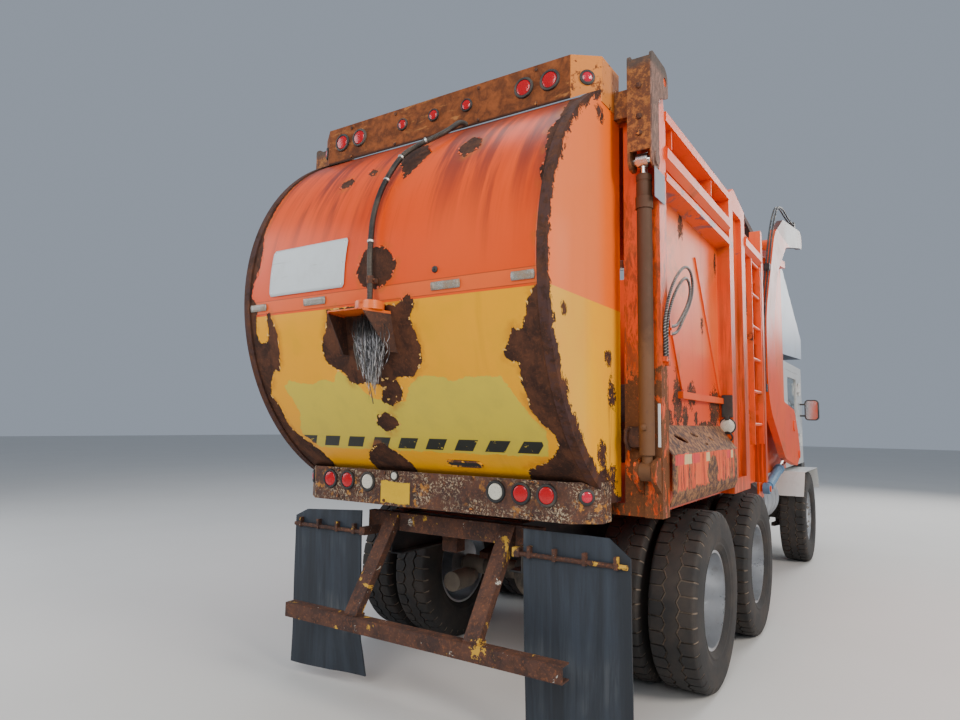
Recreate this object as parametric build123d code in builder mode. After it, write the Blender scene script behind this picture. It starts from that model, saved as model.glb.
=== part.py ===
from build123d import *
from math import atan2, cos, degrees, hypot, radians, sin
import os

# Front-loading refuse truck: low cab, bowed lift arms, packer body and a bulging tailgate.
# Millimetres. +X forward, +Y to the truck's left, +Z up, ground at z = 0.
# Stations along the truck are measured from the rear axle and placed with at().
os.makedirs("parts", exist_ok=True)

# Wheels and axles
tyre_r = 530
tyre_w = 280
bead_r = 292
rim_w = 210
rim_t = 15
disc_t = 14
drum_r = 165
hand_holes = 10
hand_hole_r = 22
hand_hole_ring = 194
dual_spacing = 320
outer_wheel_y = 1080
front_wheel_y = 1030
tandem_spacing = 1320
front_axle_x = 4720
axle_tube_r = 65
spindle_r = 45
kingpin_y = 820
kingpin_r = 22
knuckle_gap = 1
beam_eye_half = 80
brake_can_r = 68
brake_can_y = 530

# Fits: running gap at pins and hubs, gap of a seat that only rests, gap between moving panels
run_gap = 0.3
seat_gap = 0.3
panel_gap = 6

# Chassis
rail_y = 420
rail_w = 80
rail_t = 9
rail_bottom = 780
rail_top = 1040
rail_rear_x = -1080
rail_front_x = 5600

# Packer body: side sheets, and the outermost face of what stands proud of them
wall_half = 1110
post_half = 1200
skin_half = 1220
body_rear_x = -980
body_front_x = 1800
body_floor_z = 1120
body_top_z = 3240
body_corner_r = 50
wall_t = 6
plate_t = 8
frame_half = 1000
rear_post_x = (-1000, -890)
front_post_x = (560, 1080)
front_post_top = 3320
recess_z = (2720, 2930)

# Hopper, its walls rising to the front, and the opening in its roof
hopper_half = 1000
hopper_front_x = 4120
hopper_top_z = 3530
hopper_open_rear_x = 2150
rim_rail = (50, 80)

# Tailgate: top, rearmost and bottom points of its round outline, and the two arc centres
gate_half = 980
gate_top = (-1000, 3360)
gate_mid = (-1830, 2300)
gate_low = (-1100, 1190)
gate_arc_x = (-738, -621)
gate_arc_angle = (45, 35)
gate_rim_h = 12
gate_rim_w = 45
gate_hinge = (-900, 3400)
gate_open = 80
hinge_box_y = (1075, 1205)
hinge_box_x = (-1110, -1010)
hinge_box_z = (2960, 3480)
cheek_t = 12
hinge_ear_w = 60
hinge_pin_r = 25

# Tailgate cylinders
gate_cyl_y = 1140
gate_cyl_base = (-1050, 1350)
gate_cyl_eye = (-1060, 2925)
gate_cyl_r = 38
gate_rod_r = 20
gate_barrel_length = 1380
gate_eye_w = 60

# Light bars across the tailgate
upper_bar_x = -1330
upper_bar_z = (3210, 3450)
lower_bar_x = -1340
lower_bar_z = (1105, 1300)
bar_flat_half = 857
bar_end_half = 985
bar_chamfer = 100
bar_t = 6
lamp_r = 52
lamp_t = 12

# Camera hood, the rearmost piece, and the round cap on it
hood_x = (-1960, -1740)
hood_z = (1915, 2115)
hood_y = 40
hood_half = (120, 172)
cap_r = 72
cap_h = 38
cap_x, cap_y = -1880, -45

# Canopy over the cab
canopy_tip_x = 5660
canopy_tip_z = (2510, 2780)
canopy_rear_z = 2440

# Cab
cab_half = 990
cab_back_x = 4180
cab_front_x = 5740
cab_floor_z = 1120
cab_roof_z = 2370
cab_belt_z = 1750
screen_rake = 120
cab_wall = 40
cab_corner_r = 110
screen_z = (1560, 2260)
pane_t = 8
door_x = (4330, 5300)
door_z = (1190, 2280)
door_window_x = (4450, 5190)
door_window_z = (1660, 2200)
door_hinge_z = (1430, 2080)
door_pin_r = 10
bumper_front_x = 5860
bumper_z = (520, 800)
tow_eye_y = 420
tow_eye_z = 560
tow_eye_r = 20
tow_eye_t = 24

# Lift arms: pivot, then offsets from it with the arms raised
arm_pivot = (3620, 1600)
arm_y = 1135
arm_t = 60
arm_pin_r = 60
arm_tip = (1000, 2285)
arm_lever = (310, -310)
arm_base = (2570, 1000)
arm_lowered = -85
cross_tube_r = 70
fork_y = 640
fork_length = 1050
fork_w = 90
fork_rise = 9
lift_cyl_y = 1055
lift_cyl_r = 45
lift_rod_r = 28
lift_pin_r = 28
rod_seat = 95

# Hoses and the wiring conduit
hose_r = 9
conduit_r = 15

mid_x = (hood_x[0] + bumper_front_x) / 2


def at(x):
    """Station x, measured from the rear axle, in the part's own frame."""
    return x - mid_x


def side_plane(y):
    """Upright plane at y: local x runs forward and local y up."""
    return Plane(origin=(0, y, 0), x_dir=(1, 0, 0), z_dir=(0, -1, 0))


def cross_plane(x):
    """Upright plane across the truck at station x: local x runs left and local y up."""
    return Plane(origin=(at(x), 0, 0), x_dir=(0, 1, 0), z_dir=(1, 0, 0))


def block(x, y, z, mode=Mode.ADD):
    """Box between two stations, two offsets and two heights."""
    with Locations((at((x[0] + x[1]) / 2), (y[0] + y[1]) / 2, (z[0] + z[1]) / 2)):
        Box(abs(x[1] - x[0]), abs(y[1] - y[0]), abs(z[1] - z[0]), mode=mode)


def profile(points, y, thickness, mode=Mode.ADD):
    """Upright plate with corners at (station, height), centred on y."""
    with BuildSketch(side_plane(y)) as plate:
        with BuildLine():
            Polyline(*[(at(x), z) for x, z in points], close=True)
        make_face()
    extrude(plate.sketch, amount=thickness / 2, both=True, mode=mode)


def rounded_profile(corners, y, thickness, mode=Mode.ADD):
    """As profile, with corners (station, height, radius)."""
    with BuildSketch(side_plane(y)) as plate:
        with BuildLine():
            FilletPolyline(*[(at(x), z) for x, z, r in corners], radius=[r for x, z, r in corners],
                           close=True)
        make_face()
    extrude(plate.sketch, amount=thickness / 2, both=True, mode=mode)


def long_section(points, side, x, mode=Mode.ADD):
    """Rolled section with corners at (offset, height) on one side, between two stations."""
    with BuildSketch(cross_plane(x[0])) as section:
        with BuildLine():
            Polyline(*[(side * y, z) for y, z in points], close=True)
        make_face()
    extrude(section.sketch, amount=x[1] - x[0], mode=mode)


def plan_plate(points, z, mode=Mode.ADD):
    """Upright-walled piece with a plan outline of (station, offset), between two heights."""
    with BuildSketch(Plane.XY.offset(z[0])) as plan:
        with BuildLine():
            Polyline(*[(at(x), y) for x, y in points], close=True)
        make_face()
    extrude(plan.sketch, amount=z[1] - z[0], mode=mode)


def cross_rod(x, z, y, r, mode=Mode.ADD):
    """Round bar across the truck from y[0] to y[1]."""
    with BuildSketch(side_plane(y[0])) as section:
        with Locations((at(x), z)):
            Circle(r)
    extrude(section.sketch, amount=y[0] - y[1], mode=mode)


def long_rod(x, y, z, r, mode=Mode.ADD):
    """Round bar along the truck from x[0] to x[1]."""
    with BuildSketch(cross_plane(x[0])) as section:
        with Locations((y, z)):
            Circle(r)
    extrude(section.sketch, amount=x[1] - x[0], mode=mode)


def turned(points, x, z):
    """Revolved piece about the wheel axis at (x, z): points are (radius, y)."""
    with BuildSketch(Plane(origin=(at(x), 0, z), x_dir=(0, 0, 1), z_dir=(-1, 0, 0))) as section:
        with BuildLine():
            Polyline(*points, close=True)
        make_face()
    revolve(section.sketch, axis=Axis((at(x), 0, z), (0, 1, 0)))


def bar(start, end, y, r):
    """Round bar in an upright plane between two (station, height) points."""
    run = Vector(end[0] - start[0], 0, end[1] - start[1])
    with BuildSketch(Plane(origin=(at(start[0]), y, start[1]), z_dir=run)) as section:
        Circle(r)
    extrude(section.sketch, amount=run.length)


def hose(route, r):
    """Tube along (station, y, height) points, with arcs as large as the runs allow."""
    points = [Vector(at(x), y, z) for x, y, z in route]
    radii = []
    for before, corner, after in zip(points, points[1:], points[2:]):
        into, out = corner - before, after - corner
        half_turn = radians(into.get_angle(out)) / 2
        radii.append(0.45 * min(into.length, out.length) * cos(half_turn) / sin(half_turn))
    with BuildLine() as path:
        FilletPolyline(*points, radius=radii)
    with BuildSketch(Plane(origin=path.line @ 0, z_dir=path.line % 0)) as section:
        Circle(r)
    sweep(section.sketch, path=path.line)
    return min(radii)


def turn(point, angle):
    """Offset (dx, dz) turned up by angle degrees, seen from the truck's right."""
    c, s = cos(radians(angle)), sin(radians(angle))
    return (point[0] * c - point[1] * s, point[0] * s + point[1] * c)


def reach(base, eye):
    """Distance between two (station, height) points."""
    return hypot(eye[0] - base[0], eye[1] - base[1])


# Chassis: two channel rails and their cross-members
cross_members = (  # station, bottom, height
    (-960, 940, 90),
    (660, 800, 200),
    (2200, 800, 200),
    (3600, 800, 200),
    (4480, 620, 100),
    (5330, 620, 100),
)
with BuildPart() as chassis_frame:
    for side in (1, -1):
        outer, inner = rail_y + rail_w / 2, rail_y - rail_w / 2
        web = outer - rail_t
        long_section([(inner, rail_bottom), (outer, rail_bottom), (outer, rail_top), (inner, rail_top),
                      (inner, rail_top - rail_t), (web, rail_top - rail_t), (web, rail_bottom + rail_t),
                      (inner, rail_bottom + rail_t)], side, (rail_rear_x, rail_front_x))
    for x, bottom, height in cross_members:
        reach_y = web if bottom > rail_bottom else inner
        block((x - 40, x + 40), (-reach_y, reach_y), (bottom, bottom + height))
        if bottom < rail_bottom:
            for side in (1, -1):
                block((x - 40, x + 40), (side * (inner - 40), side * inner), (bottom, rail_bottom + 60))
chassis_frame.part.label = "chassis_frame"
export_step(chassis_frame.part, "parts/chassis_frame.step")

with BuildPart() as engine_block:
    block((4400, 5420), (-330, 330), (720, 1090))
engine_block.part.label = "engine_block"
export_step(engine_block.part, "parts/engine_block.step")

# Driven axles with their brake chambers and the propeller shaft
with BuildPart() as rear_axles:
    for x, way in ((0, -1), (tandem_spacing, 1)):
        cross_rod(x, tyre_r, (620, -620), axle_tube_r)
        cross_rod(x, tyre_r, (890, -890), spindle_r)
        with Locations((at(x), 0, tyre_r)):
            Sphere(190)
        for side in (1, -1):
            long_rod((x + way * 130, x + way * 330) if way > 0 else (x - 330, x - 130),
                     side * brake_can_y, tyre_r - 70, brake_can_r)
            block((x + way * 40, x + way * 132), (side * (brake_can_y - 30), side * (brake_can_y + 30)),
                  (tyre_r - 100, tyre_r - 30))
    bar((0, tyre_r + 60), (tandem_spacing, tyre_r + 60), 0, 45)
    bar((tandem_spacing, tyre_r + 60), (4396, 800), 0, 45)
rear_axles.part.label = "rear_axles"
export_step(rear_axles.part, "parts/rear_axles.step")

with BuildPart() as front_axle:
    block((front_axle_x - 45, front_axle_x + 45), (-kingpin_y + 120, kingpin_y - 120), (440, 540))
    for side in (1, -1):
        block((front_axle_x - 45, front_axle_x + 45), (side * (kingpin_y - 160), side * kingpin_y),
              (480, 580))
        with Locations((at(front_axle_x), side * kingpin_y, tyre_r)):
            Cylinder(50, 2 * beam_eye_half)
            Cylinder(kingpin_r, 2 * beam_eye_half + 110)
front_axle.part.label = "front_axle"
export_step(front_axle.part, "parts/front_axle.step")

with BuildPart() as suspension_springs:
    leaf, leaf_w = 60, 75
    for side in (1, -1):
        beam_top, half = 540, 500
        profile([(front_axle_x - half, 720), (front_axle_x - leaf, beam_top),
                 (front_axle_x + leaf, beam_top), (front_axle_x + half, 720),
                 (front_axle_x + half, rail_bottom),
                 (front_axle_x + half - 70, rail_bottom), (front_axle_x + leaf, beam_top + leaf),
                 (front_axle_x - leaf, beam_top + leaf), (front_axle_x - half + 70, rail_bottom),
                 (front_axle_x - half, rail_bottom)], side * rail_y, leaf_w)
        axle_top, mid = tyre_r + axle_tube_r, tandem_spacing / 2
        profile([(-90, axle_top), (90, axle_top), (mid, 640), (tandem_spacing - 90, axle_top),
                 (tandem_spacing + 90, axle_top), (tandem_spacing + 90, 640), (mid + 130, rail_bottom),
                 (mid - 130, rail_bottom), (-90, 640)], side * rail_y, leaf_w)
suspension_springs.part.label = "suspension_springs"
export_step(suspension_springs.part, "parts/suspension_springs.step")

# Steering knuckles, each round its kingpin
for name, side in (("knuckle_left", 1), ("knuckle_right", -1)):
    with BuildPart() as knuckle:
        for z in (tyre_r - beam_eye_half - knuckle_gap - 25, tyre_r + beam_eye_half + knuckle_gap + 25):
            with Locations((at(front_axle_x), side * kingpin_y, z)):
                Cylinder(50, 50)
            block((front_axle_x - 45, front_axle_x + 45),
                  (side * kingpin_y, side * (kingpin_y + 70)), (z - 25, z + 25))
        block((front_axle_x - 45, front_axle_x + 45), (side * (kingpin_y + 56), side * (kingpin_y + 70)),
              (tyre_r - beam_eye_half - 50, tyre_r + beam_eye_half + 50))
        cross_rod(front_axle_x, tyre_r, (side * (kingpin_y + 60), side * (front_wheel_y + 30)), spindle_r)
        plan_plate([(front_axle_x, side * (kingpin_y - 40)), (front_axle_x - 230, side * (kingpin_y - 60)),
                    (front_axle_x - 230, side * (kingpin_y - 20)), (front_axle_x, side * (kingpin_y + 30))],
                   (tyre_r - beam_eye_half - 50, tyre_r - beam_eye_half - 10))
        with Locations((at(front_axle_x), side * kingpin_y, tyre_r)):
            Cylinder(kingpin_r + run_gap, 2 * beam_eye_half + 200, mode=Mode.SUBTRACT)
    knuckle.part.label = name
    export_step(knuckle.part, f"parts/{name}.step")

# Tyres and rims
tyre_half = tyre_w / 2
rim_half = rim_w / 2
hub_bore = spindle_r + run_gap


def tyre(x, y):
    """Tyre with bulging side walls and a slightly crowned tread, centred on y."""
    shoulder_r, bulge_r = tyre_r - 34, bead_r + 120
    with BuildSketch(Plane(origin=(at(x), 0, tyre_r), x_dir=(0, 0, 1), z_dir=(-1, 0, 0))) as section:
        with BuildLine():
            for way in (1, -1):
                bead = (bead_r, y + way * rim_half)
                shoulder = (shoulder_r, y + way * (tyre_half - 6))
                edge = (tyre_r - 5, y + way * (tyre_half - 30))
                ThreePointArc(bead, (bulge_r, y + way * tyre_half), shoulder)
                Line(shoulder, edge)
            ThreePointArc((tyre_r - 5, y + tyre_half - 30), (tyre_r, y), (tyre_r - 5, y - tyre_half + 30))
            Line((bead_r, y - rim_half), (bead_r, y + rim_half))
        make_face()
    revolve(section.sketch, axis=Axis((at(x), 0, tyre_r), (0, 1, 0)))


def rim_barrel(x, y):
    turned([(bead_r - rim_t, y - rim_half), (bead_r, y - rim_half), (bead_r, y + rim_half),
            (bead_r - rim_t, y + rim_half)], x, tyre_r)


def cut_hand_holes(x, y, depth):
    for step in range(hand_holes):
        angle = radians(360 * (step + 0.5) / hand_holes)
        cross_rod(x + hand_hole_ring * cos(angle), tyre_r + hand_hole_ring * sin(angle),
                  (y + depth, y - depth), hand_hole_r, mode=Mode.SUBTRACT)


for name, x, side in (("rear_left", 0, 1), ("rear_right", 0, -1),
                      ("mid_left", tandem_spacing, 1), ("mid_right", tandem_spacing, -1)):
    outer_y = side * outer_wheel_y
    inner_y = side * (outer_wheel_y - dual_spacing)
    face_y = (outer_y + inner_y) / 2
    with BuildPart() as tyres:
        tyre(x, outer_y)
        tyre(x, inner_y)
    tyres.part.label = f"{name}_tyres"
    export_step(tyres.part, f"parts/{name}_tyres.step")
    with BuildPart() as rims:
        for y, way in ((outer_y, side), (inner_y, -side)):
            rim_barrel(x, y)
            turned([(hub_bore, face_y), (bead_r - 70, face_y), (bead_r - 5, y - way * rim_half),
                    (bead_r - 5, y - way * (rim_half - 15)), (bead_r - 75, face_y + way * disc_t),
                    (hub_bore, face_y + way * disc_t)], x, tyre_r)
        turned([(hub_bore, face_y), (drum_r, face_y), (drum_r, side * 650), (hub_bore, side * 650)],
               x, tyre_r)
        turned([(0, face_y), (105, face_y), (100, face_y + side * 50), (78, face_y + side * 60),
                (72, face_y + side * 125), (60, face_y + side * 135), (0, face_y + side * 135)], x, tyre_r)
        cut_hand_holes(x, face_y, 60)
    rims.part.label = f"{name}_rims"
    export_step(rims.part, f"parts/{name}_rims.step")

for name, side in (("front_left", 1), ("front_right", -1)):
    wheel_y = side * front_wheel_y
    disc_y = wheel_y + side * 60
    with BuildPart() as front_tyre:
        tyre(front_axle_x, wheel_y)
    front_tyre.part.label = f"{name}_tyre"
    export_step(front_tyre.part, f"parts/{name}_tyre.step")
    with BuildPart() as front_rim:
        rim_barrel(front_axle_x, wheel_y)
        turned([(0, disc_y), (bead_r - 80, disc_y), (bead_r - 5, disc_y - side * 30),
                (bead_r - 5, disc_y - side * 16), (bead_r - 75, disc_y + side * disc_t),
                (0, disc_y + side * disc_t)], front_axle_x, tyre_r)
        turned([(hub_bore, disc_y), (drum_r, disc_y), (drum_r, side * (kingpin_y + 90)),
                (hub_bore, side * (kingpin_y + 90))], front_axle_x, tyre_r)
        turned([(0, disc_y), (90, disc_y), (80, disc_y + side * 38), (0, disc_y + side * 42)],
               front_axle_x, tyre_r)
        cut_hand_holes(front_axle_x, disc_y, 40)
    front_rim.part.label = f"{name}_rim"
    export_step(front_rim.part, f"parts/{name}_rim.step")

# Packer body: floor, two side sheets and a roof with rounded edges, open at both ends
body_sheet_x = (rear_post_x[0] + 30, body_front_x)
with BuildPart() as body_shell:
    mid_z = (body_floor_z + body_top_z) / 2
    with BuildSketch(cross_plane(body_sheet_x[0])) as outside:
        with Locations((0, mid_z)):
            Rectangle(2 * wall_half, body_top_z - body_floor_z)
        fillet(outside.vertices().group_by(Axis.Y)[-1], body_corner_r)
    extrude(outside.sketch, amount=body_sheet_x[1] - body_sheet_x[0])
    with BuildSketch(cross_plane(body_sheet_x[0])) as inside:
        with Locations((0, mid_z + (plate_t - wall_t) / 2)):
            Rectangle(2 * (wall_half - wall_t), body_top_z - body_floor_z - plate_t - wall_t)
        fillet(inside.vertices().group_by(Axis.Y)[-1], body_corner_r - wall_t)
    extrude(inside.sketch, amount=body_sheet_x[1] - body_sheet_x[0], mode=Mode.SUBTRACT)
body_shell.part.label = "body_shell"
export_step(body_shell.part, "parts/body_shell.step")

# Rolled rails along the top of each side: corners at (offset, height)
side_rails = (
    ((wall_half, body_top_z - 48), (1205, body_top_z - 48), (1205, body_top_z + 4),
     (wall_half - 60, body_top_z + 4), (wall_half - 60, body_top_z), (wall_half, body_top_z)),
    ((wall_half, 3080), (1180, 3080), (1212, 3042), (1212, 2985), (1180, 2952), (wall_half, 2952)),
    ((wall_half, 2930), (1188, 2930), (1205, 2904), (1205, 2862), (wall_half, 2845)),
)
gusset_x = (-760, 90)
side_straps = (((-860, 2640), (-370, 1790)), ((-40, 2650), (530, 1790)))
strap_w, strap_t = 60, 10
frame_x = (body_sheet_x[0] - 10, body_sheet_x[0])
hinge_lug_z = body_top_z + 4

# Posts, rails and rear frame round the body's sides, and the sills that sit on the chassis
with BuildPart() as body_ribs:
    block(frame_x, (-wall_half, wall_half), (body_floor_z, body_top_z))
    block(frame_x, (-frame_half, frame_half), (body_floor_z + 60, body_top_z - 70), mode=Mode.SUBTRACT)
    block((frame_x[0], frame_x[0] + 60), (-gate_half, gate_half), (body_top_z, gate_top[1] - 10))
    for side in (1, -1):
        wall = side * wall_half
        block(rear_post_x, (wall, side * post_half), (body_floor_z, body_top_z))
        block((rear_post_x[0] - 1, rear_post_x[1] - 20), (wall, side * (post_half - 6)), recess_z,
              mode=Mode.SUBTRACT)
        profile([(front_post_x[0], body_floor_z), (front_post_x[1], body_floor_z),
                 (front_post_x[1], body_top_z), (front_post_x[0] + 150, front_post_top),
                 (front_post_x[0], body_top_z)], side * (wall_half + post_half) / 2, post_half - wall_half)
        block((front_post_x[0] + 120, front_post_x[1] - 120),
              (side * (post_half - 40), side * (post_half + 1)),
              (body_floor_z + 100, body_top_z - 90), mode=Mode.SUBTRACT)
        block((body_front_x - 60, body_front_x), (wall, side * post_half), (body_floor_z, body_top_z + 30))
        for rail in side_rails:
            long_section(rail, side, (rear_post_x[1], front_post_x[0]))
        long_section(side_rails[1], side, (front_post_x[1], body_front_x - 60))
        for x in gusset_x:
            block((x - 5, x + 5), (wall, side * 1195), (3080, body_top_z - 48))
        for top, foot in side_straps:
            profile([(top[0], top[1]), (top[0] + strap_w, top[1]), (foot[0] + strap_w, foot[1]), foot],
                    side * (wall_half + strap_t / 2), strap_t)
        block((-420, 560), (wall, side * (wall_half + 30)), (1735, 1775))
        block((frame_x[1], hopper_front_x - 60), (side * (rail_y - 40), side * (rail_y + 40)),
              (rail_top, body_floor_z))
        ear_mid = side * gate_cyl_y
        rounded_profile([(gate_hinge[0] - 70, hinge_lug_z, 0), (gate_hinge[0] + 90, hinge_lug_z, 0),
                         (gate_hinge[0] + 48, gate_hinge[1] + 48, 44),
                         (gate_hinge[0] - 48, gate_hinge[1] + 48, 44)], ear_mid, hinge_ear_w)
        cross_rod(*gate_hinge, (side * (hinge_box_y[0] - 8), side * post_half), hinge_pin_r)
        lug_y = (side * (gate_cyl_y - gate_eye_w / 2 - 14), side * (gate_cyl_y + gate_eye_w / 2 + 14))
        for y in lug_y:
            rounded_profile([(rear_post_x[0], gate_cyl_base[1] - 110, 0),
                             (rear_post_x[0], gate_cyl_base[1] + 70, 0),
                             (gate_cyl_base[0] - 45, gate_cyl_base[1] + 46, 40),
                             (gate_cyl_base[0] - 45, gate_cyl_base[1] - 46, 40)], y, 24)
        cross_rod(*gate_cyl_base, lug_y, hinge_pin_r)
        for x, z in ((-965, 1910), (-930, 1890), (-898, 2050), (-898, 2090)):
            block((x - 12, x + 12), (side * (post_half - 30), side * skin_half), (z - 12, z + 12))
body_ribs.part.label = "body_ribs"
export_step(body_ribs.part, "parts/body_ribs.step")

# Side sills: bent sheet over the wheels, rusted through on the right
sill_x = (rear_post_x[1] + seat_gap, front_post_x[0] - seat_gap)
sill_outer = ((wall_half + seat_gap, 1580), (skin_half, 1430), (skin_half, 1215), (skin_half - 20, 1165))
sill_inner = ((skin_half - 26, 1167), (skin_half - 6, 1217), (skin_half - 6, 1427),
              (wall_half + seat_gap, 1572))
torn_holes = (  # station, offset, half length, half width, turned
    (-560, 1163, 95, 13, -8),
    (-250, 1150, 60, 8, -6),
    (60, 1168, 42, 7, -10),
    (-120, 1190, 30, 6, 0),
)
with BuildPart() as side_sills:
    for side in (1, -1):
        long_section(sill_outer + sill_inner, side, sill_x)
    for x, y, half_length, half_width, turned_by in torn_holes:
        with BuildSketch(Plane.XY.offset(1400)) as hole:
            with Locations(Location((at(x), -y, 0), (0, 0, turned_by))):
                Ellipse(half_length, half_width)
        extrude(hole.sketch, amount=200, mode=Mode.SUBTRACT)
side_sills.part.label = "side_sills"
export_step(side_sills.part, "parts/side_sills.step")

# Hydraulic hoses looping off the right and left rear posts: (station, height)
outer_loop = ((-965, 1922), (-965, 1985), (-980, 2080), (-890, 2260), (-750, 2385), (-590, 2470),
              (-470, 2460), (-430, 2365), (-510, 2255), (-640, 2160), (-780, 2050), (-886, 2050))
inner_loop = ((-930, 1902), (-930, 1985), (-938, 2080), (-858, 2215), (-735, 2325), (-600, 2402),
              (-520, 2395), (-490, 2335), (-560, 2245), (-680, 2160), (-790, 2090), (-886, 2090))
with BuildPart() as body_hoses:
    for side in (1, -1):
        for loop in (outer_loop, inner_loop):
            tightest = hose([(x, side * (post_half + hose_r + seat_gap), z) for x, z in loop], hose_r)
print("body hose, tightest radius", round(tightest))
body_hoses.part.label = "body_hoses"
export_step(body_hoses.part, "parts/body_hoses.step")

# Hopper: narrower, its walls rising to the front, open on top behind the arms
lip_slope = (hopper_top_z - body_top_z) / (hopper_front_x - body_front_x)
lip_z = body_top_z + lip_slope * (hopper_open_rear_x - body_front_x)
with BuildPart() as hopper_shell:
    profile([(body_front_x, body_floor_z), (hopper_front_x, body_floor_z),
             (hopper_front_x, hopper_top_z), (body_front_x, body_top_z)], 0, 2 * hopper_half)
    profile([(body_front_x - 1, body_floor_z + plate_t), (hopper_front_x - plate_t, body_floor_z + plate_t),
             (hopper_front_x - plate_t, hopper_top_z + 50), (body_front_x - 1, body_top_z + 50)],
            0, 2 * (hopper_half - wall_t), mode=Mode.SUBTRACT)
    profile([(body_front_x, body_top_z - wall_t), (hopper_open_rear_x, lip_z - wall_t),
             (hopper_open_rear_x, lip_z), (body_front_x, body_top_z)], 0, 2 * hopper_half)
    for side in (1, -1):
        profile([(body_front_x, body_top_z - rim_rail[1]), (hopper_front_x, hopper_top_z - rim_rail[1]),
                 (hopper_front_x, hopper_top_z), (body_front_x, body_top_z)],
                side * (hopper_half + rim_rail[0] / 2 - 1), rim_rail[0] + 2)
        for x, top in ((2350, 3220), (3150, 3320)):
            block((x - 35, x + 35), (side * (hopper_half - 1), side * (hopper_half + 40)), (1720, top))
        block((body_front_x, body_front_x + 10), (side * (hopper_half - 1), side * post_half),
              (body_floor_z, body_top_z))
        base_plate = [(-130, -90, 40), (130, -90, 40), (130, 260, 60), (-130, 260, 60)]
        rounded_profile([(arm_base[0] + dx, arm_base[1] + dz, r) for dx, dz, r in base_plate],
                        side * (hopper_half + 1), 14)
        cross_rod(*arm_base, (side * hopper_half, side * (lift_cyl_y + 40)), lift_pin_r)
        cross_rod(*arm_pivot, (side * (hopper_half - 4), side * (hopper_half + 20)), arm_pin_r + 90)
        cross_rod(*arm_pivot, (side * (hopper_half - 4), side * (arm_y + arm_t / 2 + 10)), arm_pin_r)
hopper_shell.part.label = "hopper_shell"
export_step(hopper_shell.part, "parts/hopper_shell.step")

# Canopy: a sloping shield with side cheeks, over the cab
with BuildPart() as canopy:
    profile([(hopper_front_x, hopper_top_z), (canopy_tip_x, canopy_tip_z[1]),
             (canopy_tip_x, canopy_tip_z[0]), (hopper_front_x, canopy_rear_z)], 0, 2 * hopper_half)
    profile([(hopper_front_x - 1, hopper_top_z - 10), (canopy_tip_x - 10, canopy_tip_z[1] - 10),
             (canopy_tip_x - 10, canopy_tip_z[0] - 60), (hopper_front_x - 1, canopy_rear_z - 60)],
            0, 2 * (hopper_half - wall_t), mode=Mode.SUBTRACT)
canopy.part.label = "canopy"
export_step(canopy.part, "parts/canopy.step")

# Packer panel: a hollow pusher that slides along the hopper floor
panel_x = hopper_front_x - 60
panel_z = body_floor_z + plate_t + 5
with BuildPart() as packer_panel:
    for y in (-600, 600):
        block((panel_x - 540, panel_x - 20), (y - 40, y + 40), (panel_z - 5 + run_gap, panel_z + 15))
    rounded_profile([(panel_x - 560, panel_z, 0), (panel_x, panel_z, 0), (panel_x, 2100, 0),
                     (panel_x - 300, 2100, 60), (panel_x - 560, 1700, 200)], 0, 2 * (hopper_half - 20))
    block((panel_x - 500, panel_x + 1), (-hopper_half + 60, hopper_half - 60),
          (panel_z + 55, 1640), mode=Mode.SUBTRACT)
packer_panel.part.label = "packer_panel"
export_step(packer_panel.part, "parts/packer_panel.step")

door_gap = panel_gap / 2
hinge_x = door_x[1] - door_gap
hinge_y = cab_half + 17
barrel_r = door_pin_r + 6


def cab_form(inset):
    """The cab's whole form, drawn in by inset: a side outline met by a plan with round front corners."""
    back, front, half = at(cab_back_x + inset), at(cab_front_x - inset), cab_half - inset
    with BuildPart() as form:
        profile([(cab_back_x + inset, cab_floor_z + inset), (cab_front_x - inset, cab_floor_z + inset),
                 (cab_front_x - inset, cab_belt_z), (cab_front_x - screen_rake - inset, cab_roof_z - inset),
                 (cab_back_x + inset, cab_roof_z - inset)], 0, 2 * half)
        with BuildSketch() as plan:
            with BuildLine():
                FilletPolyline((back, -half), (front, -half), (front, half), (back, half),
                               radius=[0, cab_corner_r - inset, cab_corner_r - inset, 0], close=True)
            make_face()
        extrude(plan.sketch, amount=cab_roof_z, mode=Mode.INTERSECT)
    return form.part


cab_outside = cab_form(0)
cab_inside = cab_form(cab_wall)
screen_half = cab_half - cab_corner_r
fender_line = ((-720, 820), (-560, 1080), (560, 1080), (720, 820))
fender_y = (880, 1190)

# Cab: hollow, cut for doors and screen, with its front wheel arches
with BuildPart() as cab_shell:
    add(cab_outside)
    add(cab_inside, mode=Mode.SUBTRACT)
    block(door_x, (-cab_half - 1, cab_half + 1), door_z, mode=Mode.SUBTRACT)
    block((cab_front_x - 200, cab_front_x + 10), (-screen_half, screen_half), screen_z, mode=Mode.SUBTRACT)
    block((cab_front_x - 300, cab_front_x - 1), (-690, 690), (rail_top, cab_floor_z))
    for side in (1, -1):
        arch = [(front_axle_x + dx, z) for dx, z in fender_line]
        arch += [(front_axle_x + dx, z - wall_t) for dx, z in reversed(fender_line)]
        profile(arch, side * (fender_y[0] + fender_y[1]) / 2, fender_y[1] - fender_y[0])
        block((front_axle_x - 540, front_axle_x + 540), (side * fender_y[0], side * (fender_y[0] + wall_t)),
              (1080 - wall_t, cab_floor_z + 5))
        for z in door_hinge_z:
            with Locations((at(hinge_x), side * hinge_y, z)):
                Cylinder(door_pin_r, 150)
            for end in (z - 60, z + 60):
                with Locations((at(hinge_x), side * hinge_y, end)):
                    Cylinder(barrel_r, 40)
                block((hinge_x, hinge_x + 60), (side * (cab_half - 1), side * (hinge_y + 8)),
                      (end - 20, end + 20))
cab_shell.part.label = "cab_shell"
export_step(cab_shell.part, "parts/cab_shell.step")

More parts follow.
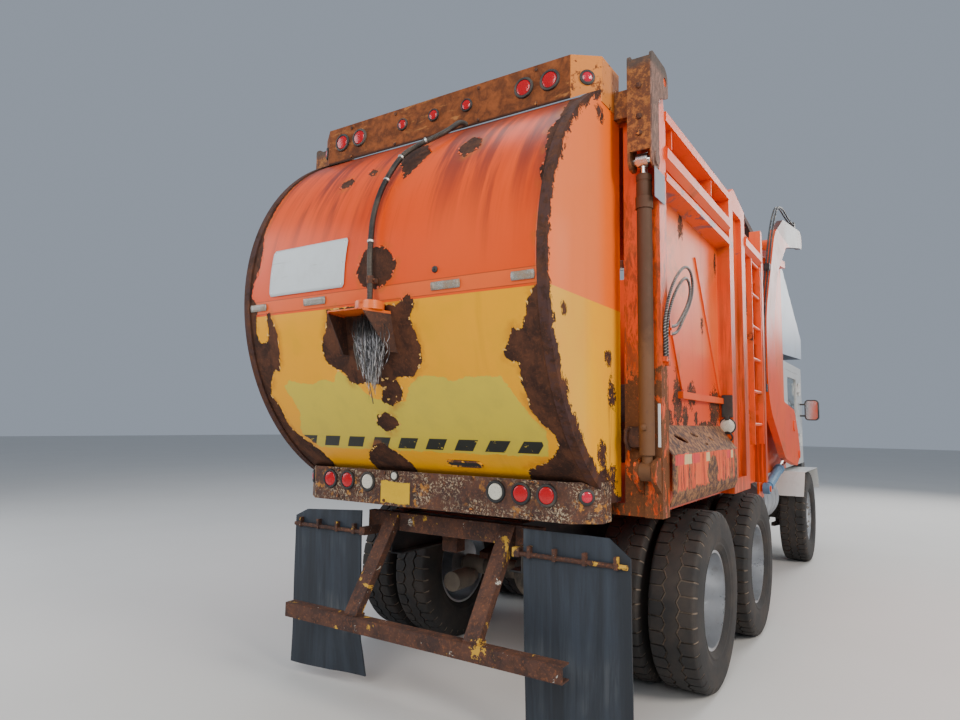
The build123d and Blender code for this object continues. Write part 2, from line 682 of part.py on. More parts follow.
with BuildPart() as cab_glass:
    outer_face = cab_front_x - 14
    profile([(outer_face - pane_t, screen_z[0] + seat_gap), (outer_face, screen_z[0] + seat_gap),
             (outer_face, cab_belt_z + 2), (outer_face - 96, screen_z[1] - seat_gap),
             (outer_face - 96 - pane_t, screen_z[1] - seat_gap), (outer_face - pane_t, cab_belt_z + 2)],
            0, 2 * (screen_half - seat_gap))
cab_glass.part.label = "cab_glass"
export_step(cab_glass.part, "parts/cab_glass.step")

for name, side in (("left", 1), ("right", -1)):
    skin_y = side * (cab_half - cab_wall / 2)
    with BuildPart() as door:
        block((door_x[0] + door_gap, hinge_x), (side * (cab_half - cab_wall), side * cab_half),
              (door_z[0] + door_gap, door_z[1] - door_gap))
        with BuildSketch(side_plane(skin_y)) as window:
            with Locations((at(sum(door_window_x) / 2), sum(door_window_z) / 2)):
                RectangleRounded(door_window_x[1] - door_window_x[0],
                                 door_window_z[1] - door_window_z[0], 60)
        extrude(window.sketch, amount=cab_wall, both=True, mode=Mode.SUBTRACT)
        for z in door_hinge_z:
            with Locations((at(hinge_x), side * hinge_y, z)):
                Cylinder(barrel_r, 78)
            block((hinge_x - 60, hinge_x), (side * (cab_half - 1), side * (hinge_y + 8)), (z - 39, z + 39))
            with Locations((at(hinge_x), side * hinge_y, z)):
                Cylinder(door_pin_r + run_gap, 100, mode=Mode.SUBTRACT)
    door.part.label = f"door_{name}"
    export_step(door.part, f"parts/door_{name}.step")
    with BuildPart() as pane:
        extrude(window.sketch, amount=pane_t / 2, both=True)
    pane.part.label = f"door_glass_{name}"
    export_step(pane.part, f"parts/door_glass_{name}.step")

seat_y, seat_z = 560, cab_floor_z + cab_wall
with BuildPart() as seats:
    for side in (1, -1):
        y = side * seat_y
        block((4420, 4900), (y - 240, y + 240), (seat_z + 230, seat_z + 350))
        profile([(4400, seat_z + 350), (4540, seat_z + 350), (4500, seat_z + 960), (4380, seat_z + 960)],
                y, 440)
        block((4500, 4820), (y - 160, y + 160), (seat_z, seat_z + 230))
seats.part.label = "seats"
export_step(seats.part, "parts/seats.step")

hub_x, hub_z = 5190, 1711
with BuildPart() as dashboard:
    bar((5400, hub_z - 227), (hub_x + 8.3, hub_z - 9.0), seat_y, 25)
    dash_half = cab_half - cab_wall
    rounded_profile([(5380, cab_floor_z + 320, 20), (5690, cab_floor_z + 320, 0), (5690, 1540, 0),
                     (5430, 1540, 60), (5380, 1490, 30)], 0, 2 * dash_half)
    block((5560, 5690), (-dash_half, dash_half), (seat_z, 1540))
    add(cab_inside, mode=Mode.INTERSECT)
dashboard.part.label = "dashboard"
export_step(dashboard.part, "parts/dashboard.step")

with BuildPart() as steering_wheel:
    with Locations(Plane(origin=(at(hub_x), seat_y, hub_z), z_dir=(-195, 0, 211))):
        Torus(215, 16)
        Cylinder(40, 24)
        for turned_by in (0, 120, 240):
            with Locations(Rotation(0, 0, turned_by)):
                Box(215, 30, 12, align=(Align.MIN, Align.CENTER, Align.CENTER))
steering_wheel.part.label = "steering_wheel"
export_step(steering_wheel.part, "parts/steering_wheel.step")

bumper_face_x = 5800
bumper_t = 10


def bumper_plan(inset, z, mode):
    """The bumper's plan with round front corners, drawn in by inset, between two heights."""
    back, front, half = at(rail_front_x - 2 + inset / 10), at(bumper_face_x - inset), cab_half - inset
    with BuildSketch(Plane.XY.offset(z[0])) as plan:
        with BuildLine():
            FilletPolyline((back, -half), (front, -half), (front, half), (back, half),
                           radius=[0, cab_corner_r - inset, cab_corner_r - inset, 0], close=True)
        make_face()
    extrude(plan.sketch, amount=z[1] - z[0], mode=mode)


step_rear_x = front_axle_x + fender_line[3][0] + panel_gap
with BuildPart() as front_bumper:
    bumper_plan(0, bumper_z, Mode.ADD)
    bumper_plan(bumper_t, (bumper_z[0] - 1, bumper_z[1] - bumper_t), Mode.SUBTRACT)
    block((rail_front_x - 3, rail_front_x), (-cab_half - 1, cab_half + 1),
          (bumper_z[0] - 1, bumper_z[1] + 1), mode=Mode.SUBTRACT)
    for side in (1, -1):
        block((rail_front_x, bumper_face_x - 5), (side * (rail_y - 30), side * (rail_y + 30)),
              (bumper_z[1] - bumper_t, 1000))
        block((step_rear_x, 5740), (side * 700, side * cab_half), (bumper_z[1], cab_floor_z - seat_gap))
        block((step_rear_x + 40, 5750), (side * 720, side * (cab_half + 1)), (900, 1020),
              mode=Mode.SUBTRACT)
        rounded_profile([(bumper_face_x - 12, tow_eye_z - 45, 0), (bumper_front_x, tow_eye_z - 45, 42),
                         (bumper_front_x, tow_eye_z + 45, 42), (bumper_face_x - 12, tow_eye_z + 45, 0)],
                        side * tow_eye_y, tow_eye_t)
        cross_rod(bumper_face_x + 22, tow_eye_z,
                  (side * (tow_eye_y - tow_eye_t), side * (tow_eye_y + tow_eye_t)),
                  tow_eye_r, mode=Mode.SUBTRACT)
front_bumper.part.label = "front_bumper"
export_step(front_bumper.part, "parts/front_bumper.step")

with BuildPart() as mirrors:
    for side in (1, -1):
        with BuildSketch(cross_plane(5420)) as housing:
            with Locations((side * (cab_half + 145), 1815)):
                RectangleRounded(170, 270, 45)
        extrude(housing.sketch, amount=50)
        for z in (1740, 1890):
            cross_rod(5445, z, (side * (cab_half + seat_gap), side * (cab_half + 70)), 12)
mirrors.part.label = "mirrors"
export_step(mirrors.part, "parts/mirrors.step")

tank_y, tank_z, tank_r = -742, 840, 258
tank_x = (2755, 3600)
with BuildPart() as fuel_tank:
    turned_end = 24
    long_rod((tank_x[0] + turned_end, tank_x[1] - turned_end), tank_y, tank_z, tank_r)
    long_rod(tank_x, tank_y, tank_z, tank_r - turned_end)
    for x in (2960, 3400):
        block((x - 30, x + 30), (-rail_y - rail_w / 2, tank_y + 150), (rail_bottom, rail_bottom + 160))
        long_rod((x - 30, x + 30), tank_y, tank_z, tank_r + 3)
fuel_tank.part.label = "fuel_tank"
export_step(fuel_tank.part, "parts/fuel_tank.step")

with BuildPart() as air_tanks:
    for x in (2300, 2950):
        long_rod((x - 280, x + 280), 640, 840, 112)
        long_rod((x - 262, x + 262), 640, 840, 130)
        block((x - 30, x + 30), (rail_y + rail_w / 2, 560), (rail_bottom, rail_bottom + 120))
air_tanks.part.label = "air_tanks"
export_step(air_tanks.part, "parts/air_tanks.step")

# Ladder on the right side: two stiles on stand-offs, and the rungs
ladder_x, ladder_y = (1330, 1690), -1180
ladder_z = (1440, 2935)
rungs = 6
with BuildPart() as ladder:
    for x in ladder_x:
        block((x - 8, x + 8), (ladder_y - 20, ladder_y + 20), ladder_z)
        for z in (1700, 2300, 2820):
            block((x - 8, x + 8), (ladder_y + 19, -wall_half), (z - 20, z + 20))
    for step in range(rungs):
        long_rod(ladder_x, ladder_y, 1600 + 265 * step, 13)
ladder.part.label = "ladder"
export_step(ladder.part, "parts/ladder.step")


def channel(start, end, y, width, depth, t):
    """Channel along an upright run between two (station, height) points, its web to the rear."""
    run = Vector(end[0] - start[0], 0, end[1] - start[1])
    half = width / 2
    with BuildSketch(Plane(origin=(at(start[0]), y, start[1]), x_dir=(0, 1, 0), z_dir=run)) as section:
        with BuildLine():
            Polyline((-half, 0), (half, 0), (half, -depth), (half - t, -depth), (half - t, -t),
                     (-half + t, -t), (-half + t, -depth), (-half, -depth), close=True)
        make_face()
    extrude(section.sketch, amount=run.length)


# Rear frame: guard hung from the rails, and the bars that the flaps hang on
guard_x, guard_z = (-1500, -1430), (430, 510)
guard_t, guard_half = 8, 900
end_beam_x = (rail_rear_x - 50, rail_rear_x)
end_beam_z = (930, 1035)
strut_y = 400
flap_x = (-1245, -1235)
flap_y = (556, 1125)
flap_bar_r, flap_bar_z = 12, 920
flap_bar_x = flap_x[0] - flap_bar_r - seat_gap
with BuildPart() as underride_guard:
    block(end_beam_x, (-600, 600), end_beam_z)
    profile([(guard_x[0], guard_z[0]), (guard_x[1], guard_z[0]), (guard_x[1], guard_z[0] + guard_t),
             (guard_x[0] + guard_t, guard_z[0] + guard_t), (guard_x[0] + guard_t, guard_z[1] - guard_t),
             (guard_x[1], guard_z[1] - guard_t), (guard_x[1], guard_z[1]), (guard_x[0], guard_z[1])],
            0, 2 * guard_half)
    for side in (1, -1):
        channel((guard_x[0] + 10, guard_z[1] - 4), (end_beam_x[0] - 6, end_beam_z[1] - 4),
                side * strut_y, 90, 45, guard_t)
        block((guard_x[0] + 12, guard_x[1] + 20), (side * (strut_y - 45), side * (strut_y + 45)),
              (guard_z[1] - 4, guard_z[1] + 8))
        block((flap_bar_x - 14, end_beam_x[0] + 10), (side * 505, side * 545),
              (flap_bar_z - 16, end_beam_z[0] + 20))
        cross_rod(flap_bar_x, flap_bar_z, (side * 510, side * 1112), flap_bar_r)
        for y in (600, 740, 900, 1060):
            block((flap_bar_x - 15, flap_x[0] - seat_gap), (side * (y - 9), side * (y + 9)),
                  (flap_bar_z - 15, flap_bar_z + 44))
underride_guard.part.label = "underride_guard"
export_step(underride_guard.part, "parts/underride_guard.step")

with BuildPart() as mud_flaps:
    for side in (1, -1):
        block(flap_x, (side * flap_y[0], side * flap_y[1]), (60, 1045))
        for y in (670, 820, 980):
            block((flap_x[0] - 1, flap_x[1] + 1), (side * (y - 38), side * (y + 38)), (985, 1046),
                  mode=Mode.SUBTRACT)
mud_flaps.part.label = "mud_flaps"
export_step(mud_flaps.part, "parts/mud_flaps.step")

# Tailgate: a rolled shell of two arcs between flat sides, its rims proud of the skin
gate_front_x = body_rear_x - panel_gap


def gate_line(inset):
    """The two arcs of the tailgate's side outline, drawn in by inset; returns their ends."""
    top = (at(gate_top[0]), gate_top[1] - inset)
    low = (at(gate_low[0]), gate_low[1] + inset)
    mid = (at(gate_mid[0] + inset), gate_mid[1])
    ends = []
    for centre, angle, way in zip(gate_arc_x, gate_arc_angle, (1, -1)):
        r = centre - gate_mid[0] - inset
        ends.append((at(centre - r * cos(radians(angle))), gate_mid[1] + way * r * sin(radians(angle))))
    ThreePointArc(top, ends[0], mid)
    ThreePointArc(mid, ends[1], low)
    return top, low


def gate_solid(inset, front_x, half, mode):
    """The tailgate's side outline with a flat front at front_x, as wide as given."""
    with BuildSketch(side_plane(0)) as outline:
        with BuildLine():
            top, low = gate_line(inset)
            Line(low, (at(front_x), low[1]))
            Line((at(front_x), low[1]), (at(front_x), top[1]))
            Line((at(front_x), top[1]), top)
        make_face()
    extrude(outline.sketch, amount=half, both=True, mode=mode)


with BuildPart() as tailgate_shell:
    gate_solid(0, gate_front_x, gate_half, Mode.ADD)
    with BuildSketch(side_plane(0)) as pared:
        with BuildLine():
            top, low = gate_line(-60)
            Line(low, (at(gate_low[0]), gate_low[1]))
            inner_low = gate_line(gate_rim_h)[1]
            Line((at(gate_low[0]), gate_low[1]), inner_low)
            Line((at(gate_top[0]), gate_top[1] - gate_rim_h), top)
        make_face()
    extrude(pared.sketch, amount=gate_half - gate_rim_w, both=True, mode=Mode.SUBTRACT)
    gate_solid(gate_rim_h + wall_t, body_rear_x, gate_half - wall_t, Mode.SUBTRACT)
tailgate_shell.part.label = "tailgate_shell"
export_step(tailgate_shell.part, "parts/tailgate_shell.step")


def bent_bar(face_x, z, front_x, t, mode=Mode.ADD):
    """Plate bent in plan: a flat face, chamfered ends and straight cheeks, drawn in by t."""
    end = bar_end_half - t
    corner = bar_flat_half - 0.4 * t
    plan_plate([(front_x, -end), (face_x + bar_chamfer, -end), (face_x + t, -corner), (face_x + t, corner),
                (face_x + bar_chamfer, end), (front_x, end)], z, mode=mode)


with BuildPart() as tailgate_light_bar:
    bent_bar(upper_bar_x, upper_bar_z, -1000, 0)
    bent_bar(upper_bar_x, (upper_bar_z[0] - 1, upper_bar_z[1] - bar_t), -999, bar_t, mode=Mode.SUBTRACT)
    gate_solid(0, gate_front_x, gate_half, Mode.SUBTRACT)
    gate_solid(0, gate_front_x, gate_half - gate_rim_w, Mode.SUBTRACT)
    block((-1066, -990), (-bar_end_half - 1, bar_end_half + 1), (upper_bar_z[0] - 1, 3336),
          mode=Mode.SUBTRACT)
tailgate_light_bar.part.label = "tailgate_light_bar"
export_step(tailgate_light_bar.part, "parts/tailgate_light_bar.step")

with BuildPart() as lower_light_bar:
    bent_bar(lower_bar_x, lower_bar_z, -1130, 0)
    bent_bar(lower_bar_x, (lower_bar_z[0] + bar_t, lower_bar_z[1] + 1), -1129, bar_t, mode=Mode.SUBTRACT)
    gate_solid(0, gate_front_x, gate_half, Mode.SUBTRACT)
lower_light_bar.part.label = "lower_light_bar"
export_step(lower_light_bar.part, "parts/lower_light_bar.step")

# Hinge boxes beside the tailgate: two cheeks and a back plate, open above, below and in front
cheek_mid = ((hinge_box_y[0] + cheek_t / 2), (hinge_box_y[1] - cheek_t / 2))
eye_lobe_z = gate_cyl_eye[1] - 53
with BuildPart() as hinge_arms:
    for side in (1, -1):
        for y in cheek_mid:
            rounded_profile([(hinge_box_x[0] - cheek_t, hinge_box_z[1], 30), (-862, hinge_box_z[1], 60),
                             (-845, 3330, 30), (-1008, 3262, 20), (-1008, eye_lobe_z, 45),
                             (hinge_box_x[0] - cheek_t, eye_lobe_z, 45)], side * y, cheek_t)
        block((hinge_box_x[0] - cheek_t, hinge_box_x[0]), (side * hinge_box_y[0], side * hinge_box_y[1]),
              (hinge_box_z[0], hinge_box_z[1] - 30))
        block((-1060, -1000), (side * gate_half, side * (hinge_box_y[0] + 1)), (3180, 3330))
        for y in hinge_box_y:
            way = 1 if y == hinge_box_y[1] else -1
            cross_rod(*gate_cyl_eye, (side * (y - way), side * (y + way * 9)), hinge_pin_r + 10)
        cross_rod(*gate_hinge, (side * (hinge_box_y[0] - 1), side * (hinge_box_y[1] + 1)),
                  hinge_pin_r + run_gap, mode=Mode.SUBTRACT)
hinge_arms.part.label = "hinge_arms"
export_step(hinge_arms.part, "parts/hinge_arms.step")

# Camera hood: flared cheeks under a sloping top, with a round cap where the conduit ends
with BuildPart() as camera_hood:
    with BuildSketch(side_plane(hood_y)) as hood_side:
        with BuildLine():
            Polyline((at(hood_x[0]), hood_z[1] - 12), (at(hood_x[0]), hood_z[1]),
                     (at(hood_x[1]), hood_z[1]), (at(hood_x[1]), hood_z[0]), (at(-1810), hood_z[0]),
                     close=True)
        make_face()
    extrude(hood_side.sketch, amount=200, both=True)
    plan_plate([(hood_x[0], hood_y - hood_half[0]), (hood_x[0], hood_y + hood_half[0]),
                (hood_x[1], hood_y + hood_half[1]), (hood_x[1], hood_y - hood_half[1])],
               (hood_z[0] - 1, hood_z[1] + 1), mode=Mode.INTERSECT)
    inner = [half - bar_t for half in hood_half]
    plan_plate([(hood_x[0] - 1, hood_y - inner[0]), (hood_x[0] - 1, hood_y + inner[0]),
                (hood_x[1] + 1, hood_y + inner[1]), (hood_x[1] + 1, hood_y - inner[1])],
               (hood_z[0] - 2, hood_z[1] - bar_t), mode=Mode.SUBTRACT)
    with Locations((at(cap_x), cap_y, hood_z[1] - 1)):
        Cylinder(cap_r, cap_h + 1, align=(Align.CENTER, Align.CENTER, Align.MIN))
        Cylinder(cap_r - 18, cap_h + 7, align=(Align.CENTER, Align.CENTER, Align.MIN))
    gate_solid(gate_rim_h, gate_front_x, gate_half, Mode.SUBTRACT)
camera_hood.part.label = "camera_hood"
export_step(camera_hood.part, "parts/camera_hood.step")

# Wiring: a ribbed conduit from the light bar to the hood, and the torn bundle under it
conduit_route = (  # station, offset, height
    (upper_bar_x - seat_gap, -215, 3236),
    (-1378, -215, 3236),
    (-1445, -204, 3172),
    (-1515, -172, 3110),
    (-1575, -40, 3050),
    (-1640, -2, 2975),
    (-1745, 20, 2790),
    (-1812, 14, 2620),
    (-1846, -6, 2470),
    (-1862, -20, 2340),
    (-1870, -35, 2250),
    (cap_x, cap_y, 2200),
    (cap_x, cap_y, hood_z[1] + cap_h + 6 + seat_gap),
)
with BuildPart() as tailgate_wiring:
    tightest = hose(conduit_route, conduit_r)
    for x, y, foot, r in ((-1850, 10, 1640, 11), (-1850, 52, 1590, 9), (-1862, 84, 1660, 8)):
        with BuildLine() as strand:
            FilletPolyline((at(x + 30), y, 2108), (at(x + 22), y + 6, 1980), (at(x - 6), y + 14, 1860),
                           (at(x + 4), y + 4, foot), radius=[90, 90])
        with BuildSketch(Plane(origin=strand.line @ 0, z_dir=strand.line % 0)) as section:
            Circle(r)
        sweep(section.sketch, path=strand.line)
print("conduit, tightest radius", round(tightest))
tailgate_wiring.part.label = "tailgate_wiring"
export_step(tailgate_wiring.part, "parts/tailgate_wiring.step")


def lamps(places, z, x, r, t):
    """Round lamps standing t proud of the face at station x."""
    for y in places:
        long_rod((x - t, x), y, z, r)


with BuildPart() as red_lamps:
    lamps((726, 585, -595, -739), 1230, lower_bar_x, lamp_r, lamp_t)
    lamps((737, 590, -586, -740), 3345, upper_bar_x, lamp_r, lamp_t)
    lamps((242, 10, -221), 3345, upper_bar_x, lamp_r - 18, lamp_t)
red_lamps.part.label = "red_lamps"
export_step(red_lamps.part, "parts/red_lamps.step")

with BuildPart() as clear_lamps:
    lamps((425, -448), 1230, lower_bar_x, lamp_r, lamp_t)
    lamps((223,), 1272, lower_bar_x, lamp_r - 26, lamp_t)
clear_lamps.part.label = "clear_lamps"
export_step(clear_lamps.part, "parts/clear_lamps.step")

with BuildPart() as headlights:
    lamps((780, -780), 675, bumper_face_x + lamp_t, 80, lamp_t)
headlights.part.label = "headlights"
export_step(headlights.part, "parts/headlights.step")


def along(start, end, distance):
    """Point at a distance from start towards end, as (station, height)."""
    share = distance / reach(start, end)
    return (start[0] + (end[0] - start[0]) * share, start[1] + (end[1] - start[1]) * share)


def barrel(base, eye, y, length, r, rod_r, pin_r, width):
    """Cylinder barrel with a base eye and a gland, bored for its rod and its pin."""
    neck_end = pin_r + 55
    cross_rod(*base, (y + width / 2, y - width / 2), pin_r + 22)
    bar(along(base, eye, pin_r + 12), along(base, eye, neck_end + 5), y, r - 12)
    bar(along(base, eye, neck_end), along(base, eye, length), y, r)
    bar(along(base, eye, length - 60), along(base, eye, length), y, r + 6)
    bore_start, bore_end = along(base, eye, 90), along(base, eye, length + 10)
    run = Vector(bore_end[0] - bore_start[0], 0, bore_end[1] - bore_start[1])
    with BuildSketch(Plane(origin=(at(bore_start[0]), y, bore_start[1]), z_dir=run)) as bore:
        Circle(rod_r + run_gap)
    extrude(bore.sketch, amount=run.length, mode=Mode.SUBTRACT)
    cross_rod(*base, (y + width, y - width), pin_r + run_gap, mode=Mode.SUBTRACT)


def rod(base, eye, y, tail, rod_r, pin_r, pin_y):
    """Rod from its tail inside the barrel to an eye that carries its own pin between pin_y offsets."""
    bar(along(base, eye, tail), eye, y, rod_r)
    cross_rod(*eye, (y + gate_eye_w / 2, y - gate_eye_w / 2), pin_r + 18)
    cross_rod(*eye, pin_y, pin_r)


gate_eye_open = turn((gate_cyl_eye[0] - gate_hinge[0], gate_cyl_eye[1] - gate_hinge[1]), -gate_open)
gate_eye_open = (gate_hinge[0] + gate_eye_open[0], gate_hinge[1] + gate_eye_open[1])
gate_stroke = reach(gate_cyl_base, gate_eye_open) - reach(gate_cyl_base, gate_cyl_eye)
lift_eye = (arm_pivot[0] + arm_lever[0], arm_pivot[1] + arm_lever[1])
lift_eye_low = turn(arm_lever, arm_lowered)
lift_eye_low = (arm_pivot[0] + lift_eye_low[0], arm_pivot[1] + lift_eye_low[1])
lift_stroke = reach(arm_base, lift_eye) - reach(arm_base, lift_eye_low)

with BuildPart() as tailgate_barrels:
    for side in (1, -1):
        barrel(gate_cyl_base, gate_cyl_eye, side * gate_cyl_y, gate_barrel_length, gate_cyl_r, gate_rod_r,
               hinge_pin_r, gate_eye_w)
tailgate_barrels.part.label = "tailgate_barrels"
export_step(tailgate_barrels.part, "parts/tailgate_barrels.step")

with BuildPart() as tailgate_rods:
    pin_gap = 2
    for side in (1, -1):
        rod(gate_cyl_base, gate_cyl_eye, side * gate_cyl_y, rod_seat, gate_rod_r, hinge_pin_r - 3,
            (side * (hinge_box_y[0] + cheek_t + pin_gap), side * (hinge_box_y[1] - cheek_t - pin_gap)))
tailgate_rods.part.label = "tailgate_rods"
export_step(tailgate_rods.part, "parts/tailgate_rods.step")

lift_barrel = reach(arm_base, lift_eye_low) - lift_pin_r - 40
with BuildPart() as arm_barrels:
    for side in (1, -1):
        barrel(arm_base, lift_eye, side * lift_cyl_y, lift_barrel, lift_cyl_r, lift_rod_r, lift_pin_r,
               gate_eye_w)
arm_barrels.part.label = "arm_barrels"
export_step(arm_barrels.part, "parts/arm_barrels.step")

with BuildPart() as arm_rods:
    for side in (1, -1):
        rod(arm_base, lift_eye, side * lift_cyl_y, rod_seat + lift_stroke, lift_rod_r, lift_pin_r,
            (side * (lift_cyl_y - 38), side * (arm_y - arm_t / 2 - pin_gap)))
arm_rods.part.label = "arm_rods"
export_step(arm_rods.part, "parts/arm_rods.step")

# Lift arms, raised: corners as offsets from the pivot, each with its radius
arm_outline = (  # forward, up, radius
    (430, -330, 60),
    (150, -430, 120),
    (-620, -330, 400),
    (-1480, 200, 500),
    (-1480, 1000, 700),
    (-900, 1900, 500),
    (-350, 2190, 300),
    (960, 2395, 60),
    (1100, 2330, 60),
    (1060, 2195, 40),
    (870, 2165, 80),
    (-180, 1930, 400),
    (-800, 1520, 400),
    (-1060, 1000, 350),
    (-1060, 620, 250),
    (-620, 240, 250),
    (60, 170, 100),
    (300, -80, 100),
)


def arm_plate(side, mode=Mode.ADD):
    """The bowed plate of one lift arm."""
    corners = [(arm_pivot[0] + dx, arm_pivot[1] + dz, r) for dx, dz, r in arm_outline]
    rounded_profile(corners, side * arm_y, arm_t, mode=mode)


for name, side in (("arm_left", 1), ("arm_right", -1)):
    with BuildPart() as arm:
        arm_plate(side)
        cross_rod(*arm_pivot, (side * (hopper_half + 30), side * (arm_y + arm_t / 2)), 110)
        cross_rod(*arm_pivot, (side * (arm_y - 120), side * (arm_y + 100)), arm_pin_r + run_gap,
                  mode=Mode.SUBTRACT)
        cross_rod(*lift_eye, (side * (arm_y + arm_t / 2 - 1), side * (arm_y + arm_t / 2 + 10)),
                  lift_pin_r + 14)
    arm.part.label = name
    export_step(arm.part, f"parts/{name}.step")

# Arm hoses: along the outer edge of each arm, bowed off its top
arm_hose_route = (
    (-1505, 330),
    (-1512, 620),
    (-1505, 900),
    (-1420, 1140),
    (-1190, 1500),
    (-985, 1850),
    (-800, 2080),
    (-560, 2280),
    (-250, 2345),
    (30, 2340),
    (330, 2350),
    (560, 2368),
)
clip_half = 34
with BuildPart() as arm_hoses:
    for side in (1, -1):
        for y in (side * (arm_y - 13), side * (arm_y + 13)):
            route = [(arm_pivot[0] + dx, y, arm_pivot[1] + dz) for dx, dz in arm_hose_route]
            tightest = hose(route, hose_r)
        for dx, dz in (arm_hose_route[0], arm_hose_route[4], arm_hose_route[-1]):
            block((arm_pivot[0] + dx - clip_half, arm_pivot[0] + dx + clip_half),
                  (side * (arm_y - 27), side * (arm_y + 27)),
                  (arm_pivot[1] + dz - clip_half, arm_pivot[1] + dz + clip_half))
        arm_plate(side, Mode.SUBTRACT)
print("arm hose, tightest radius", round(tightest))
arm_hoses.part.label = "arm_hoses"
export_step(arm_hoses.part, "parts/arm_hoses.step")

tip = (arm_pivot[0] + arm_tip[0], arm_pivot[1] + arm_tip[1])
with BuildPart() as arm_cross_tube:
    cross_rod(*tip, (arm_y - arm_t / 2, -arm_y + arm_t / 2), cross_tube_r)
arm_cross_tube.part.label = "arm_cross_tube"
export_step(arm_cross_tube.part, "parts/arm_cross_tube.step")

# Forks, folded back over the hopper and a little up
fork_section = (
    (-60, -50, 0),
    (-fork_length, -20, 0),
    (-fork_length - 90, 10, 12),
    (-fork_length, 30, 0),
    (-60, 60, 0),
)
with BuildPart() as forks:
    for side in (1, -1):
        y = side * fork_y
        cross_rod(*tip, (y + 50, y - 50), cross_tube_r + 28)
        blade = [turn((dx, dz), -fork_rise) + (r,) for dx, dz, r in fork_section]
        rounded_profile([(tip[0] + dx, tip[1] + dz, r) for dx, dz, r in blade], y, fork_w)
        cross_rod(*tip, (y + 60, y - 60), cross_tube_r + run_gap, mode=Mode.SUBTRACT)
forks.part.label = "forks"
export_step(forks.part, "parts/forks.step")

for label, base, eye, moved in (("gate", gate_cyl_base, gate_cyl_eye, gate_eye_open),
                                ("lift", arm_base, lift_eye, lift_eye_low)):
    angles = [degrees(atan2(end[1] - base[1], end[0] - base[0])) for end in (eye, moved)]
    print(label, "angles", [round(angle, 4) for angle in angles],
          "stroke", round(reach(base, moved) - reach(base, eye), 2), "mid_x", mid_x)
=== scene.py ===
import math
import random

import bpy
from mathutils import Matrix, Vector, noise


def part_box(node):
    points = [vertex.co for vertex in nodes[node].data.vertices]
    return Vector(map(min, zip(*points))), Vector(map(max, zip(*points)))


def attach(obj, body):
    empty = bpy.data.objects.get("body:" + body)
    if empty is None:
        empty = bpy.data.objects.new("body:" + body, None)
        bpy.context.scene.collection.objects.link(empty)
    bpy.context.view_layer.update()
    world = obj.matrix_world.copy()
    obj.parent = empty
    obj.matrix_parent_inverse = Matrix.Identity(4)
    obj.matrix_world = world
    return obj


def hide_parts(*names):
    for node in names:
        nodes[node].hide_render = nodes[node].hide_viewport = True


# Looks for a front-loading refuse truck. Metres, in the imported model's frame.
# Stations are measured from the rear axle, as in the CAD; MID is the frame's origin.
MID = 1.95
SEED = 7
SIDES = ((1, "left"), (-1, "right"))
CAMERA_PLACE, CAMERA_TURN = (-4.246, -2.239, 1.571), (33.171, 5.527, 0.843)
CAMERA_FOCUS, PHOTO_WIDTH, SENSOR = 660.76, 960, 36

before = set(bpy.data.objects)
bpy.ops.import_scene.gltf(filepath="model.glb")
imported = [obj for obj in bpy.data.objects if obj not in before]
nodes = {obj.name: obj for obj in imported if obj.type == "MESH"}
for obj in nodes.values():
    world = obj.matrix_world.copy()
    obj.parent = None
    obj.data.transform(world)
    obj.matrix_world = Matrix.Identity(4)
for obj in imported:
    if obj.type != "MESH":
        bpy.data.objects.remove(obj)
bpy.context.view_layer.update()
scene = bpy.context.scene


def at(x):
    """Station x in the frame."""
    return x - MID


def place_in_scene(name, data):
    piece = bpy.data.objects.new(name, data)
    scene.collection.objects.link(piece)
    return piece


# Camera at the photograph's place
def make_camera():
    yaw, pitch, roll = (math.radians(angle) for angle in CAMERA_TURN)
    ahead = Vector((math.cos(yaw) * math.cos(pitch), math.sin(yaw) * math.cos(pitch), math.sin(pitch)))
    level = Vector((math.sin(yaw), -math.cos(yaw), 0))
    above = level.cross(ahead)
    right = level * math.cos(roll) + above * math.sin(roll)
    up = above * math.cos(roll) - level * math.sin(roll)
    data = bpy.data.cameras.new("camera")
    data.sensor_width = SENSOR
    data.lens = SENSOR * CAMERA_FOCUS / PHOTO_WIDTH
    camera = place_in_scene("camera", data)
    x, y, z = CAMERA_PLACE
    turned = Matrix((right, up, -ahead)).transposed()
    camera.matrix_world = Matrix.Translation((at(x), y, z)) @ turned.to_4x4()
    scene.camera = camera


make_camera()


# Soft studio: a pale floor, a wide key from behind the camera, and fills
def make_light(name, place, target, size, power, colour):
    data = bpy.data.lights.new(name, "AREA")
    data.shape = "DISK"
    data.size = size
    data.energy = power
    data.color = colour
    light = place_in_scene(name, data)
    light.location = place
    light.rotation_euler = (Vector(target) - Vector(place)).to_track_quat("-Z", "Y").to_euler()


make_light("key", (-5, -12, 8), (-1, 0, 1.5), 5, 1450, (1, 0.93, 0.84))
make_light("rear", (-12, -2, 6), (-2, 0, 1.8), 6, 620, (1, 0.97, 0.93))
make_light("fill_left", (-7, 9, 5), (-1, 0, 1.5), 7, 420, (0.92, 0.96, 1))
make_light("fill_front", (11, -3, 7), (1, 0, 1.5), 7, 700, (1, 0.98, 0.95))
make_light("top", (0, 0, 11), (0, 0, 0), 9, 420, (1, 1, 1))
world = bpy.data.worlds.new("studio")
world.use_nodes = True
world.node_tree.nodes["Background"].inputs[0].default_value = (0.70, 0.80, 0.95, 1)
world.node_tree.nodes["Background"].inputs[1].default_value = 0.42
scene.world = world


